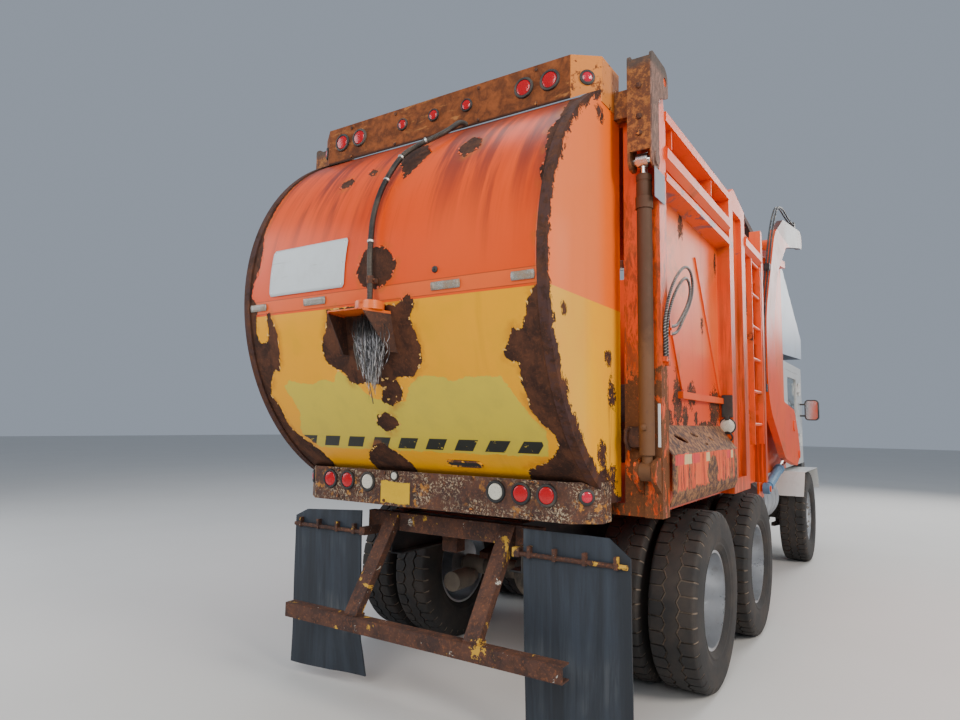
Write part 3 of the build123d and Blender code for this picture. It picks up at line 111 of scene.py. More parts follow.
class Value:
    """Output of a look's node that takes part in sums; | is the larger of two."""

    def __init__(self, look, socket):
        self.look = look
        self.socket = socket

    def __add__(self, other):
        return self.look.math("ADD", self, other)

    def __sub__(self, other):
        return self.look.math("SUBTRACT", self, other)

    def __rsub__(self, other):
        return self.look.math("SUBTRACT", other, self)

    def __mul__(self, other):
        return self.look.math("MULTIPLY", self, other)

    def __truediv__(self, other):
        return self.look.math("DIVIDE", self, other)

    def __or__(self, other):
        return self.look.math("MAXIMUM", self, other)

    def __abs__(self):
        return self.look.math("ABSOLUTE", self)

    def step(self, low, high):
        """0 where the value is below low, 1 above high."""
        inputs = {0: self, 1: low, 2: high, 3: 0.0, 4: 1.0}
        return self.look.add("ShaderNodeMapRange", 0, inputs, interpolation_type="SMOOTHSTEP")

    def inside(self, low, high, soft=0.002):
        """1 where the value lies between low and high."""
        return self.step(low - soft, low + soft) * self.step(high + soft, high - soft)


class Look:
    """A material and short words for wiring its nodes. Colours are linear."""

    def __init__(self, name):
        self.mat = bpy.data.materials.new(name)
        self.mat.use_nodes = True
        self.tree = self.mat.node_tree
        self.shader = self.tree.nodes["Principled BSDF"]
        self.place = self.add("ShaderNodeTexCoord", "Object", {})
        self.x, self.y, self.z = (self.add("ShaderNodeSeparateXYZ", k, {0: self.place}) for k in range(3))

    def add(self, kind, output, inputs, **settings):
        """One output of a new node."""
        node = self.tree.nodes.new(kind)
        for key, value in settings.items():
            setattr(node, key, value)
        for key, value in inputs.items():
            self.feed(node.inputs[key], value)
        return Value(self, node.outputs[output])

    def feed(self, socket, value):
        if isinstance(value, Value):
            self.tree.links.new(value.socket, socket)
        elif isinstance(value, tuple) and len(value) == 3 and socket.type == "RGBA":
            socket.default_value = (*value, 1)
        else:
            socket.default_value = value

    def math(self, operation, a, b=0.0):
        return self.add("ShaderNodeMath", 0, {0: a, 1: b}, operation=operation)

    def mix(self, share, a, b):
        return self.add("ShaderNodeMix", 2, {0: share, 6: a, 7: b}, data_type="RGBA")

    def layers(self, colour, *laid):
        """A colour with others laid over it, each with its share."""
        for share, other in laid:
            colour = self.mix(share, colour, other)
        return colour

    def noise(self, scale, detail=5.0, rough=0.6, warp=0.0, stretch=None):
        """Cloudy noise; stretch is a scale for each axis, low where the marks run long."""
        along = self.add("ShaderNodeMapping", 0, {0: self.place, 3: stretch}) if stretch else self.place
        inputs = {"Vector": along, "Scale": scale, "Detail": detail, "Roughness": rough, "Distortion": warp}
        return self.add("ShaderNodeTexNoise", "Fac", inputs)

    def cells(self, scale):
        return self.add("ShaderNodeTexVoronoi", "Distance", {"Vector": self.place, "Scale": scale})

    def carried(self, name):
        """A value that the mesh carries."""
        return self.add("ShaderNodeAttribute", "Fac", {}, attribute_name=name)

    def blot(self, places, ragged, wobble=0.5):
        """1 inside any of the ovals (x, z, half width, half height), their edges pushed about by ragged."""
        nearest = None
        for x, z, rx, rz in places:
            dx, dz = (self.x - x) / rx, (self.z - z) / rz
            far = dx * dx + dz * dz
            nearest = self.math("MINIMUM", nearest, far) if nearest else far
        return (nearest + (ragged * (wobble * 4) - wobble * 2)).step(1.06, 0.94)

    def finish(self, colour, rough, height=None, depth=0.002, strength=0.6, **extra):
        extra = {"Base Color": colour, "Roughness": rough, **extra}
        if height is not None:
            extra["Normal"] = self.add("ShaderNodeBump", 0,
                                       {"Strength": strength, "Distance": depth, "Height": height})
        for key, value in extra.items():
            self.feed(self.shader.inputs[key.replace("_", " ")], value)
        return self.mat


ORANGE = (0.74, 0.062, 0.0)
DEEP_ORANGE = (0.42, 0.028, 0.0)
SALMON = (0.80, 0.165, 0.045)
YELLOW = (0.82, 0.355, 0.0)
PALE_YELLOW = (0.60, 0.46, 0.04)
WHITE_PANEL = (0.55, 0.60, 0.62)
RUST_DARK = (0.030, 0.013, 0.009)
RUST_MID = (0.090, 0.034, 0.017)
RUST_BRIGHT = (0.30, 0.095, 0.028)
RUST_PURPLE = (0.062, 0.030, 0.028)
DUST = (0.30, 0.24, 0.17)
GRIME = (0.055, 0.045, 0.038)


def rust_of(look, bright=0.35, purple=0.0):
    """Colour and height of rusted steel."""
    broad, fine = look.noise(9, 6, 0.65, 0.4), look.noise(70, 5, 0.7)
    colour = look.layers(RUST_DARK, (broad.step(0.35, 0.66), RUST_MID),
                         (fine.step(0.5, 0.72) * bright, RUST_BRIGHT))
    if purple:
        colour = look.mix(look.noise(26, 3).step(0.42, 0.6) * purple, colour, RUST_PURPLE)
    return colour, fine * 0.7 + broad * 0.5


def painted(look, paint, rusted, rust=None, streaks=0.35):
    """Paint over steel: rusted is the share of bare steel; paint lifts round it and stains below."""
    rust_colour, rust_height = rust or rust_of(look)
    runs = look.noise(1.0, 4, 0.6, 0.3, (9, 9, 0.9))
    blotch, grain = look.noise(2.3, 4, 0.55), look.noise(140, 3, 0.6)
    bare = rusted.step(0.46, 0.54)
    kept = 1.0 - bare
    colour = look.layers(
        paint, (blotch.step(0.35, 0.75) * 0.22, SALMON), (runs.step(0.52, 0.78) * streaks, DEEP_ORANGE),
        (runs.step(0.66, 0.9) * streaks, RUST_MID), (rusted.step(0.12, 0.46) * kept * 0.5, RUST_BRIGHT),
        (bare, rust_colour))
    height = bare * rust_height * 0.8 + kept * 0.9 + grain * 0.05
    return look.finish(colour, bare * 0.42 + blotch * 0.22 + 0.28, height, 0.0022, Specular_IOR_Level=0.25)


def scatter(look, amount):
    """Share of rust spread by chance: amount about 0.2 little, 0.6 much."""
    spread = look.noise(3.2, 7, 0.62, 0.5) * 2.4 + (amount - 1.35)
    return look.math("MINIMUM", spread | 0.0, 1.0)


def plain_steel(name, bright, purple=0.0, patches=()):
    """Bare rusted steel, with what is left of old paint: (colour, amount, scale)."""
    look = Look(name)
    colour, height = rust_of(look, bright, purple)
    for paint, amount, scale in patches:
        left = look.noise(scale, 6, 0.68, 0.6).step(0.72 - amount * 0.3, 0.735 - amount * 0.3)
        colour = look.mix(left, colour, paint)
        height = height + left * 0.5
    return look.finish(colour, 0.82, height, 0.003)


def orange_steel(name, amount, spots=(), salmon=0.25, streaks=0.35, bright=0.35, glare_from=None):
    """Orange sheet: rust by chance and in spots (x, z, half width, half height), faded to salmon by chance,
    with painted glare: the salmon kept strong above a given height and weak below it.
    """
    look = Look(name)
    ragged = look.noise(17, 7, 0.78, 1.4)
    rusted = scatter(look, amount)
    if spots:
        rusted = rusted | look.blot(spots, ragged, 2.0)
    fade_and_glare = look.noise(0.8, 3).step(0.4, 0.6) * salmon
    # Painted reflection: above this height the salmon stands for glare on the gloss paint; below it little is
    # left.
    if glare_from:
        high = (ragged * 0.08 + look.z).step(glare_from, glare_from + 0.06)
        fade_and_glare = fade_and_glare * (high * 0.85 + 0.15)
    return painted(look, look.mix(fade_and_glare, ORANGE, SALMON), rusted, rust_of(look, bright), streaks)


def rubber(name, colour, dust, rough, scale):
    look = Look(name)
    cloud, fine = look.noise(3.5, 5, 0.65), look.noise(scale, 4, 0.6)
    shade = look.mix(cloud.step(0.4, 0.75) * dust, colour, DUST)
    return look.finish(shade, fine * 0.2 + (rough - 0.1), fine, 0.0012, 0.4)


def metal(name, colour, rough, metallic, dirt, scale=6):
    look = Look(name)
    cloud, fine = look.noise(scale, 6, 0.65), look.noise(120, 3)
    stained = cloud.step(0.45, 0.72) * dirt
    shade = look.mix(stained, colour, GRIME)
    return look.finish(shade, stained * 0.5 + (fine * 0.12 + rough), fine, 0.0006, 0.3, Metallic=metallic)


def satin(name, colour, rough, dirt, scale=4, coat=0.0):
    look = Look(name)
    cloud, fine = look.noise(scale, 6, 0.62), look.noise(90, 3)
    shade = look.mix(cloud.step(0.45, 0.8) * dirt, colour, DUST)
    return look.finish(shade, cloud * 0.2 + (rough - 0.1), fine, 0.0007, 0.25, Coat_Weight=coat)


def window_look():
    look = Look("window_glass")
    smear = look.noise(5, 5, 0.6)
    shade = look.mix(smear.step(0.5, 0.8) * 0.25, (0.62, 0.70, 0.70), DUST)
    return look.finish(shade, smear * 0.15 + 0.03, Transmission_Weight=0.95, IOR=1.45)


def lens(name, colour, glow):
    """Moulded lamp lens: small prisms under a smooth face."""
    look = Look(name)
    prisms = look.cells(160)
    shade = look.mix(prisms.step(0.0, 0.5), tuple(c * 0.55 for c in colour), colour)
    return look.finish(shade, 0.16, prisms, 0.001, 0.5, Coat_Weight=0.25, Emission_Color=colour,
                       Emission_Strength=glow)


# The tailgate's skin: arcs (centre, radius) above and below the rearmost point, sunk between its rims
UPPER = (-0.738, 1.092)
LOWER = (-0.621, 1.209)
SPRING_Z, PAINT_LINE = 2.3, 2.160
RIM_STEP, RIM_WIDTH, GATE_SIDE = 0.012, 0.0455, 0.98
TOP_TURN, LOW_TURN = 75.6, -66.0
SKIN_COLUMNS, SKIN_ROWS = 168, 250
SKIN_LIFT, DENT_DEPTH = 0.0036, 0.0022
FAR_IN = 0.12

# Rusted areas of the skin, as outlines of (offset, height)
RUST_AREAS = (
    ((0.06, 2.445), (-0.05, 2.45), (-0.10, 2.42), (-0.155, 2.35), (-0.13, 2.28), (-0.06, 2.235), (0.03, 2.24),
     (0.07, 2.262), (0.106, 2.334), (0.075, 2.40)),
    ((0.42, 2.875), (0.428, 2.93), (0.37, 2.945), (0.325, 2.91), (0.33, 2.875)),
    ((0.245, 2.945), (0.24, 2.99), (0.18, 2.955), (0.182, 2.92)),
    ((-0.362, 2.935), (-0.366, 3.0), (-0.407, 3.04), (-0.482, 3.0), (-0.499, 2.93), (-0.432, 2.89)),
    ((0.10, 3.02), (0.05, 3.11), (-0.06, 3.10), (-0.16, 3.0), (-0.134, 2.92), (-0.074, 2.83), (-0.02, 2.92)),
    ((0.32, 2.15), (0.34, 2.054), (0.385, 1.978), (0.38, 1.889), (0.317, 1.856), (0.256, 1.823),
     (0.229, 1.781),
     (0.163, 1.77), (0.119, 1.785), (0.02, 1.76), (-0.037, 1.75), (-0.049, 1.69), (0.0, 1.655), (0.06, 1.68),
     (0.03, 1.74), (-0.092, 1.80), (-0.195, 1.80), (-0.264, 1.865), (-0.272, 1.944), (-0.232, 2.074),
     (-0.264, 2.147), (-0.235, 2.19), (-0.191, 2.165), (-0.152, 2.14), (-0.062, 2.15), (0.12, 2.16)),
    ((0.0, 1.80), (-0.085, 1.79), (-0.10, 1.74), (-0.075, 1.69), (-0.02, 1.675), (0.03, 1.70), (0.03, 1.76)),
    ((0.133, 1.605), (0.063, 1.631), (0.015, 1.60), (0.005, 1.565), (0.061, 1.535), (0.118, 1.521),
     (0.164, 1.557)),
    ((0.36, 1.391), (0.283, 1.44), (0.194, 1.459), (0.144, 1.416), (0.09, 1.345), (0.11, 1.28), (0.40, 1.28),
     (0.401, 1.354)),
    ((1.0, 3.2), (0.93, 3.1), (0.925, 2.9), (0.915, 2.66), (0.88, 2.56), (0.872, 2.45), (0.91, 2.36),
     (0.93, 2.27), (0.89, 2.25), (0.872, 2.19), (0.885, 2.155), (0.90, 2.06), (0.86, 2.01), (0.80, 2.02),
     (0.79, 2.08), (0.80, 2.175), (0.77, 2.182), (0.745, 2.12), (0.718, 2.056), (0.725, 1.96), (0.742, 1.903),
     (0.76, 1.85), (0.80, 1.86), (0.85, 1.80), (0.90, 1.72), (0.86, 1.66), (0.87, 1.542), (0.80, 1.46),
     (0.74, 1.40), (0.73, 1.30), (1.0, 1.28)),
    ((-0.86, 3.2), (-0.883, 3.143), (-0.91, 3.007), (-0.885, 2.93), (-0.905, 2.83), (-0.925, 2.739),
     (-0.905, 2.70), (-0.93, 2.62), (-0.965, 2.587), (-1.0, 2.59), (-1.0, 3.2)),
    ((-1.0, 2.47), (-0.945, 2.465), (-0.925, 2.39), (-0.94, 2.34), (-1.0, 2.325)),
    ((-1.0, 2.30), (-0.942, 2.29), (-0.955, 2.228), (-1.0, 2.205)),
    ((-1.0, 2.165), (-0.915, 2.160), (-0.878, 2.102), (-0.87, 2.05), (-0.853, 2.011), (-0.845, 1.985),
     (-0.809, 1.98), (-0.795, 2.0), (-0.78, 1.965), (-0.758, 1.919), (-0.732, 1.89), (-0.74, 1.865),
     (-0.765, 1.85), (-0.80, 1.846), (-0.795, 1.80), (-0.79, 1.75), (-0.801, 1.716), (-0.80, 1.64),
     (-0.83, 1.585), (-0.86, 1.555), (-0.88, 1.53), (-0.875, 1.47), (-0.82, 1.42), (-0.76, 1.39),
     (-0.64, 1.345), (-0.62, 1.28), (-1.0, 1.28)),
)
LABEL_AREA = (
    (0.765, 1.765), (0.70, 1.80), (0.52, 1.775), (0.44, 1.80), (0.36, 1.785), (0.30, 1.84), (0.24, 1.80),
    (0.15, 1.72), (0.0, 1.66), (-0.10, 1.68), (-0.14, 1.74), (-0.22, 1.80), (-0.36, 1.795), (-0.43, 1.765),
    (-0.50, 1.79), (-0.69, 1.79), (-0.74, 1.70), (-0.80, 1.60), (-0.845, 1.54), (-0.80, 1.42), (0.72, 1.42),
    (0.80, 1.50), (0.72, 1.62), (0.735, 1.70),
)


def edge_distance(polygon, y, z):
    """Signed distance from a point to an outline, above zero inside."""
    inside, nearest = False, math.inf
    for (y1, z1), (y2, z2) in zip(polygon, polygon[1:] + polygon[:1]):
        if (z1 > z) != (z2 > z) and y < (y2 - y1) * (z - z1) / (z2 - z1) + y1:
            inside = not inside
        run, rise = y2 - y1, z2 - z1
        share = max(0.0, min(1.0, ((y - y1) * run + (z - z1) * rise) / (run * run + rise * rise)))
        nearest = min(nearest, math.hypot(y - y1 - share * run, z - z1 - share * rise))
    return nearest if inside else -nearest


def near(polygon, y, z):
    ys, zs = zip(*polygon)
    return min(ys) - FAR_IN < y < max(ys) + FAR_IN and min(zs) - FAR_IN < z < max(zs) + FAR_IN


def skin_point(turn):
    """Point and outward direction on the sheet: turn in degrees above the rearmost point."""
    centre, radius = UPPER if turn > 0 else LOWER
    out = Vector((-math.cos(math.radians(turn)), 0, math.sin(math.radians(turn))))
    return Vector((at(centre), 0, SPRING_Z)) + out * (radius - RIM_STEP), out


def turn_at(z):
    """The turn at a height of the sheet."""
    radius = (UPPER if z > SPRING_Z else LOWER)[1] - RIM_STEP
    return math.degrees(math.asin((z - SPRING_Z) / radius))


def new_mesh(name, points, faces, smooth):
    mesh = bpy.data.meshes.new(name)
    mesh.from_pydata(points, [], faces)
    mesh.polygons.foreach_set("use_smooth", [smooth] * len(mesh.polygons))
    return mesh


def new_sheet(name, rows, wound):
    """Smooth mesh through rows of points; wound is 1 or -1, for which side faces out."""
    wide = len(rows[0])
    corners = [row * wide + column for row in range(len(rows) - 1) for column in range(wide - 1)]
    faces = [(a, *(a + 1, a + wide + 1, a + wide)[::wound]) for a in corners]
    return new_mesh(name, [point for row in rows for point in row], faces, True)


def carry(mesh, name, values):
    """Gives each point of a mesh a value that its look can read."""
    mesh.attributes.new(name, "FLOAT", "POINT").data.foreach_set("value", values)


def seat_on(piece, body, look, replaces=()):
    """Gives a piece its look, and lets it ride on a body."""
    piece.data.materials.append(look)
    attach(piece, body)
    if replaces:
        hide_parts(*replaces)
    return piece


def thicken(piece, thickness):
    solid = piece.modifiers.new("thickness", "SOLIDIFY")
    solid.thickness = thickness
    solid.offset = -1


def make_skin():
    """The painted sheet between the rims: a fine grid that carries how far each point is from bare rust."""
    half = GATE_SIDE - RIM_WIDTH
    rows, worn, label = [], [], []
    for row in range(SKIN_ROWS + 1):
        turn = TOP_TURN + (LOW_TURN - TOP_TURN) * row / SKIN_ROWS
        base, out = skin_point(turn)
        rows.append([])
        for column in range(SKIN_COLUMNS + 1):
            y = half - 2 * half * column / SKIN_COLUMNS
            dent = noise.noise(Vector((y * 2.2, turn * 0.045, 3.1)))
            dent += 0.5 * noise.noise(Vector((y * 6.0, turn * 0.12, 8.4)))
            spot = base + out * (SKIN_LIFT + DENT_DEPTH * max(-1.0, min(1.0, dent)))
            rows[-1].append((spot.x, y, spot.z))
            depths = [edge_distance(area, y, spot.z) for area in RUST_AREAS if near(area, y, spot.z)]
            worn.append(max([-FAR_IN] + depths))
            label.append(max(-FAR_IN, edge_distance(LABEL_AREA, y, spot.z)))
    mesh = new_sheet("gate_skin", rows, -1)
    carry(mesh, "worn", worn)
    carry(mesh, "label", label)
    return mesh


def orange_half(look, sun):
    """The sheet above the paint line: dark runs from the top, and a band of faded tape along the line."""
    runs = look.noise(1.0, 4, 0.6, 0.2, (1, 5, 0.35))
    stains = look.noise(1.0, 5, 0.62, 0.25, (1, 8, 0.45))
    reach_down = look.noise(1.0, 2, 0.5, 0, (0, 5, 0)) * 1.1 + look.z
    low, high = PAINT_LINE + 0.012, PAINT_LINE + 0.082
    lower_line, upper_line = (look.z.inside(z - 0.002, z + 0.002, 0.0012) for z in (low, high))
    lines = lower_line | upper_line
    return look.layers(
        ORANGE, (sun.step(0.35, 0.65) * 0.18, SALMON),
        (runs.step(0.50, 0.72) * look.z.step(2.1, 2.9) * 0.75, DEEP_ORANGE),
        (stains.step(0.43, 0.60) * reach_down.step(2.90, 3.50) * 0.85, (0.15, 0.028, 0.020)),
        (look.z.step(3.04, 3.16) * 0.6, (0.20, 0.045, 0.03)), (look.z.inside(low, high) * 0.45, SALMON),
        (lines * 0.55, RUST_MID))


def yellow_half(look, ragged, label):
    """The sheet below the line, with a blank label of pale vinyl, torn at its edges, and hazard stripes."""
    stripe = look.math("FRACT", (look.z * 1.15 + look.y + 4.0) * (1 / 0.187))
    black = look.z.inside(1.433, 1.492) * stripe.inside(0.18, 0.80, 0.01) * look.y.inside(-0.80, 0.79)
    vinyl = look.layers(PALE_YELLOW, (look.noise(7, 6, 0.6).step(0.45, 0.7) * 0.35, (0.46, 0.36, 0.05)),
                        (black * look.noise(24, 6, 0.7).step(0.35, 0.38), (0.018, 0.02, 0.016)))
    return look.layers(YELLOW, (look.noise(3, 5, 0.6).step(0.42, 0.7) * 0.35, (0.62, 0.33, 0.004)),
                       (look.noise(1.0, 4, 0.6, 0, (1, 7, 0.5)).step(0.55, 0.8) * 0.4, (0.42, 0.20, 0.01)),
                       ((ragged * 0.05 + label).step(-0.001, 0.001), vinyl))


def skin_look():
    look = Look("gate_skin")
    ragged, sun = look.noise(16, 7, 0.72, 0.8) - 0.5, look.noise(1.3, 3, 0.5)
    edge = ragged * 0.055 + look.carried("worn")
    above = look.z.step(PAINT_LINE - 0.002, PAINT_LINE + 0.002)
    paint = look.mix(above, yellow_half(look, ragged, look.carried("label")), orange_half(look, sun))
    rust_colour, rust_height = rust_of(look, 0.22)
    bare = edge.step(-0.012, 0.010).step(0.46, 0.54)
    halo = edge.step(-0.045, -0.002) * look.noise(9, 4).step(0.42, 0.62)
    colour = look.layers(paint, (halo * 0.5, (0.42, 0.12, 0.012)), (bare, rust_colour))
    rough = bare * 0.50 + (sun * 0.15 + 0.26)
    return look.finish(colour, rough, bare * rust_height * 0.8 + (1.0 - bare), 0.003,
                       0.8, Specular_IOR_Level=0.25)


skin = seat_on(place_in_scene("gate_skin", make_skin()), "tailgate", skin_look())
thicken(skin, 0.0012)


def side_look():
    """The tailgate's flat sides and rims: rust creeps in from the edge."""
    look = Look("gate_sides")
    ragged, torn = look.noise(18, 7, 0.75, 0.9), look.noise(20, 7, 0.78, 1.4)
    dz = look.z - SPRING_Z
    depths = []
    for centre, radius in (UPPER, LOWER):
        dx = look.x - at(centre)
        depths.append(radius - look.math("SQRT", dx * dx + dz * dz))
    high = look.z.step(SPRING_Z - 0.001, SPRING_Z + 0.001)
    edge = high * depths[0] + (1.0 - high) * depths[1]
    creep = look.z.step(2.35, 1.45) * 0.035 + 0.028 - (ragged * 0.20 + (edge - 0.100))
    rim = abs(look.y).step(GATE_SIDE - 0.001, GATE_SIDE - 0.003)
    spots = look.blot((
        (at(-1.15), 1.905, 0.045, 0.035), (at(-1.105), 1.735, 0.048, 0.075), (at(-1.655), 2.085, 0.03, 0.03),
        (at(-1.23), 1.43, 0.05, 0.07), (at(-1.17), 1.30, 0.11, 0.08), (at(-1.0), 3.30, 0.06, 0.10),
        (at(-1.25), 3.14, 0.05, 0.04)), torn, 2.2)
    # Painted reflection: between these stations the orange turns pinker and the yellow duller, standing for
    # glare on the gloss.
    orange = look.mix(look.x.inside(at(-1.78), at(-1.22), 0.1) * 0.7, (0.95, 0.15, 0.0), (0.86, 0.22, 0.08))
    yellow = look.mix(look.x.inside(at(-1.80), at(-1.40), 0.08), (0.95, 0.44, 0.0), (0.84, 0.43, 0.04))
    runs = look.x.inside(at(-1.16), at(-1.10), 0.02) * look.z.inside(1.36, 1.88, 0.1)
    runs = runs * look.noise(1, 4, 0.6, 0, (30, 30, 2)).step(0.42, 0.6)
    paint = look.layers(yellow, (look.z.step(PAINT_LINE + 0.002, PAINT_LINE + 0.006), orange),
                        (runs * 0.8, RUST_BRIGHT))
    return painted(look, paint, creep.step(-0.004, 0.004) | rim | spots, rust_of(look, 0.25, 0.75), 0.08)


def upper_bar_look():
    """Brown scale with tan scuffs along it; the slanted ends keep some pale orange."""
    look = Look("upper_bar")
    colour, height = rust_of(look, 0.5)
    mottle = look.noise(14, 6, 0.7, 0.5).step(0.36, 0.66)
    tan = look.noise(1.0, 6, 0.72, 0.4, (1, 6, 26)).step(0.54, 0.66) * look.noise(2.6, 3).step(0.45, 0.60)
    clean = look.y.step(-0.852, -0.858) * look.noise(16, 6, 0.7).step(0.62, 0.56)
    colour = look.layers(
        colour, (0.72, look.mix(mottle, (0.13, 0.038, 0.012), (0.34, 0.095, 0.024))),
        (tan * 0.7, (0.50, 0.20, 0.055)), (look.noise(4.5, 5, 0.65).step(0.58, 0.70) * 0.55, RUST_DARK),
        (look.z.step(3.240, 3.222), RUST_DARK), (clean, (0.60, 0.20, 0.035)))
    return look.finish(colour, clean * -0.3 + 0.82, clean * 0.6 + height, Specular_IOR_Level=0.25)


def lower_bar_look():
    """Rust with a salt of old pale paint, and a square of yellow that lasted."""
    look = Look("lower_bar")
    colour, height = rust_of(look, 0.5, 0.3)
    salt = look.noise(85, 5, 0.75).step(0.53, 0.57) * look.noise(7, 4, 0.6).step(0.42, 0.56)
    amber = look.noise(22, 5, 0.7).step(0.56, 0.60) * look.noise(4, 3).step(0.45, 0.55)
    wavy = look.noise(15, 4) * 0.05 + look.z
    square = look.y.inside(0.115, 0.325, 0.004) * wavy.inside(1.145, 1.262, 0.004)
    colour = look.layers(colour, (salt * 0.8, (0.46, 0.36, 0.24)), (amber * 0.7, (0.50, 0.20, 0.02)),
                         (square, (0.66, 0.40, 0.012)))
    return look.finish(colour, 0.80, salt * 0.5 + height, 0.003)


def hood_look():
    look = Look("camera_hood")
    top = look.z.step(2.100, 2.104)
    colour, height = rust_of(look, 0.55)
    lid = look.mix(look.noise(14, 5).step(0.5, 0.66), (0.72, 0.13, 0.015), DEEP_ORANGE)
    dents = look.cells(34).step(0.10, 0.02) * 0.7
    colour = look.layers(colour, (0.35, RUST_DARK), (dents, RUST_DARK), (top, lid))
    return look.finish(colour, top * -0.5 + 0.8, height)


def flap_look():
    look = Look("mud_flap")
    runs = look.noise(1.0, 6, 0.7, 0.3, (1, 9, 0.7))
    bleached = runs.step(0.48, 0.72) * look.noise(1.7, 3).step(0.44, 0.62)
    shade = look.layers((0.010, 0.014, 0.021), (runs.step(0.36, 0.7), (0.026, 0.036, 0.052)),
                        (bleached * 0.35, (0.16, 0.16, 0.15)))
    return look.finish(shade, 0.62, look.noise(46, 4) * 0.3, 0.003)


def arm_hose_look():
    """Corrugated black tube, its ribs across both x and z."""
    look = Look("arm_hose")
    phase = look.x * (0.7 / 0.03) + look.z * (0.7 / 0.03)
    shade = look.mix(look.noise(12, 4).step(0.5, 0.75) * 0.4, (0.012, 0.012, 0.013), DUST)
    return look.finish(shade, 0.5, look.math("PINGPONG", phase, 0.5), 0.004, 0.8)


def barrel_look(name, colour, lower, split_z, gloss):
    """A cylinder barrel: worn paint above, rust and grease below."""
    look = Look(name)
    cloud = look.noise(10, 6, 0.65)
    low = (cloud * 0.5 + look.z).step(split_z + 0.35, split_z + 0.15)
    shade = look.layers(colour, (low, lower), (look.noise(24, 6, 0.7).step(0.55, 0.66) * 0.6, RUST_MID))
    return look.finish(shade, cloud * 0.4 + gloss, cloud)


# Rust on the body's wall: (x, z, half width, half height)
WALL_SPOTS = (
    (at(-0.33), 2.78, 0.055, 0.075), (at(0.50), 2.715, 0.03, 0.075), (at(0.13), 2.235, 0.03, 0.05),
    (at(-0.43), 1.72, 0.085, 0.16), (at(-0.14), 1.76, 0.09, 0.075), (at(-0.28), 1.63, 0.05, 0.075),
    (at(0.42), 1.70, 0.14, 0.13), (at(-0.05), 1.61, 0.045, 0.05), (at(-0.62), 1.60, 0.10, 0.06),
    (at(0.20), 1.58, 0.20, 0.025), (at(-0.80), 1.72, 0.04, 0.16), (at(1.3), 1.4, 0.08, 0.12),
    (at(1.55), 2.6, 0.03, 0.09), (at(1.2), 3.1, 0.09, 0.03),
)
TAPE_RED, TAPE_PALE = (0.62, 0.03, 0.035), (0.62, 0.50, 0.24)
TAPE = ((-0.835, -0.675, TAPE_RED), (-0.665, -0.525, TAPE_PALE), (-0.515, -0.365, TAPE_RED),
        (-0.225, -0.145, TAPE_PALE), (0.285, 0.385, TAPE_RED), (0.405, 0.465, TAPE_PALE))


def sill_look():
    """Sloped top rusted brown, orange face with rust running down it, brown lip, scraps of marker tape."""
    look = Look("sill_paint")
    ragged, runs = look.noise(9, 7, 0.7, 0.6), look.noise(1.0, 6, 0.7, 0.3, (22, 1, 2.2))
    slope = (ragged * 0.035 + look.z).step(1.440, 1.452)
    lip = (runs * 0.12 + look.z).step(1.312, 1.290)
    drips = runs.step(0.50, 0.60) * look.z.inside(1.20, 1.44, 0.05)
    patch = look.blot(((at(-0.10), 1.31, 0.13, 0.09), (at(-0.86), 1.33, 0.05, 0.12),
                       (at(0.52), 1.30, 0.04, 0.10)), ragged)
    bare = slope | lip | patch | drips * 0.9
    rust_colour, rust_height = rust_of(look, 0.55, 0.25)
    tan = look.mix(look.noise(30, 5, 0.7).step(0.45, 0.6), rust_colour, (0.30, 0.13, 0.045))
    colour = look.layers((0.80, 0.12, 0.012), (runs.step(0.35, 0.55), ORANGE),
                         (runs.step(0.44, 0.56) * 0.55, DEEP_ORANGE), (bare.step(0.45, 0.6), tan))
    band = (ragged * 0.006 + look.z).inside(1.376, 1.428)
    for start, end, tape in TAPE:
        scrap = band * (ragged * 0.05 + look.x).inside(at(start), at(end))
        colour = look.mix(scrap * 0.85, colour, tape)
    return look.finish(colour, bare * 0.3 + 0.5, rust_height, 0.003)


def rib_look():
    """Posts and rails: sun-bleached faces, deep edges, dark speckle of rust and painted shade on the rear
    posts, painted shade low on the front posts, bare grey where the lower rail has rubbed.
    """
    look = Look("rib_paint")
    rear = look.x.step(at(-0.86), at(-0.89))
    # Dark speckle on the rear posts: partly rust, partly painted shade in the gap beside the tailgate,
    # strongest low down.
    rust_speckle_and_shade = rear * look.noise(1.0, 7, 0.75, 0.4, (34, 34, 9)).step(0.44, 0.60) * look.z.step(3.05, 2.45)
    low = rear * (look.noise(11, 6, 0.7) * 0.9 + look.z).step(2.45, 2.15)
    patchy = look.noise(1.0, 6, 0.7, 0.4, (15, 15, 5)).step(0.40, 0.50)
    rubbed = look.z.inside(2.846, 2.905, 0.01) * look.x.step(at(-0.88), at(-0.84))
    rubbed = rubbed * look.noise(3.1, 6, 0.6, 0.4, (1, 1, 3)).step(0.49, 0.53)
    # Painted shade: the front posts darken towards the bottom, in vertical streaks.
    front_post_shade = look.x.step(at(0.5), at(0.6)) * look.z.step(3.0, 2.2)
    front_post_shade = front_post_shade * look.noise(1.0, 6, 0.7, 0.3, (30, 30, 1.4)).step(0.38, 0.58)
    paint = look.layers(ORANGE, (look.noise(0.9, 3).step(0.36, 0.6) * 0.35, SALMON),
                        (rust_speckle_and_shade * 0.85, (0.13, 0.032, 0.011)), (front_post_shade * 0.8, (0.17, 0.030, 0.010)),
                        (rubbed * 0.9, (0.13, 0.12, 0.155)))
    rust_colour, rust_height = rust_of(look, 0.95)
    rust_colour = look.mix(0.45, rust_colour, (0.22, 0.080, 0.026))
    return painted(look, paint, low * patchy | scatter(look, 0.16), (rust_colour, rust_height), 0.3)


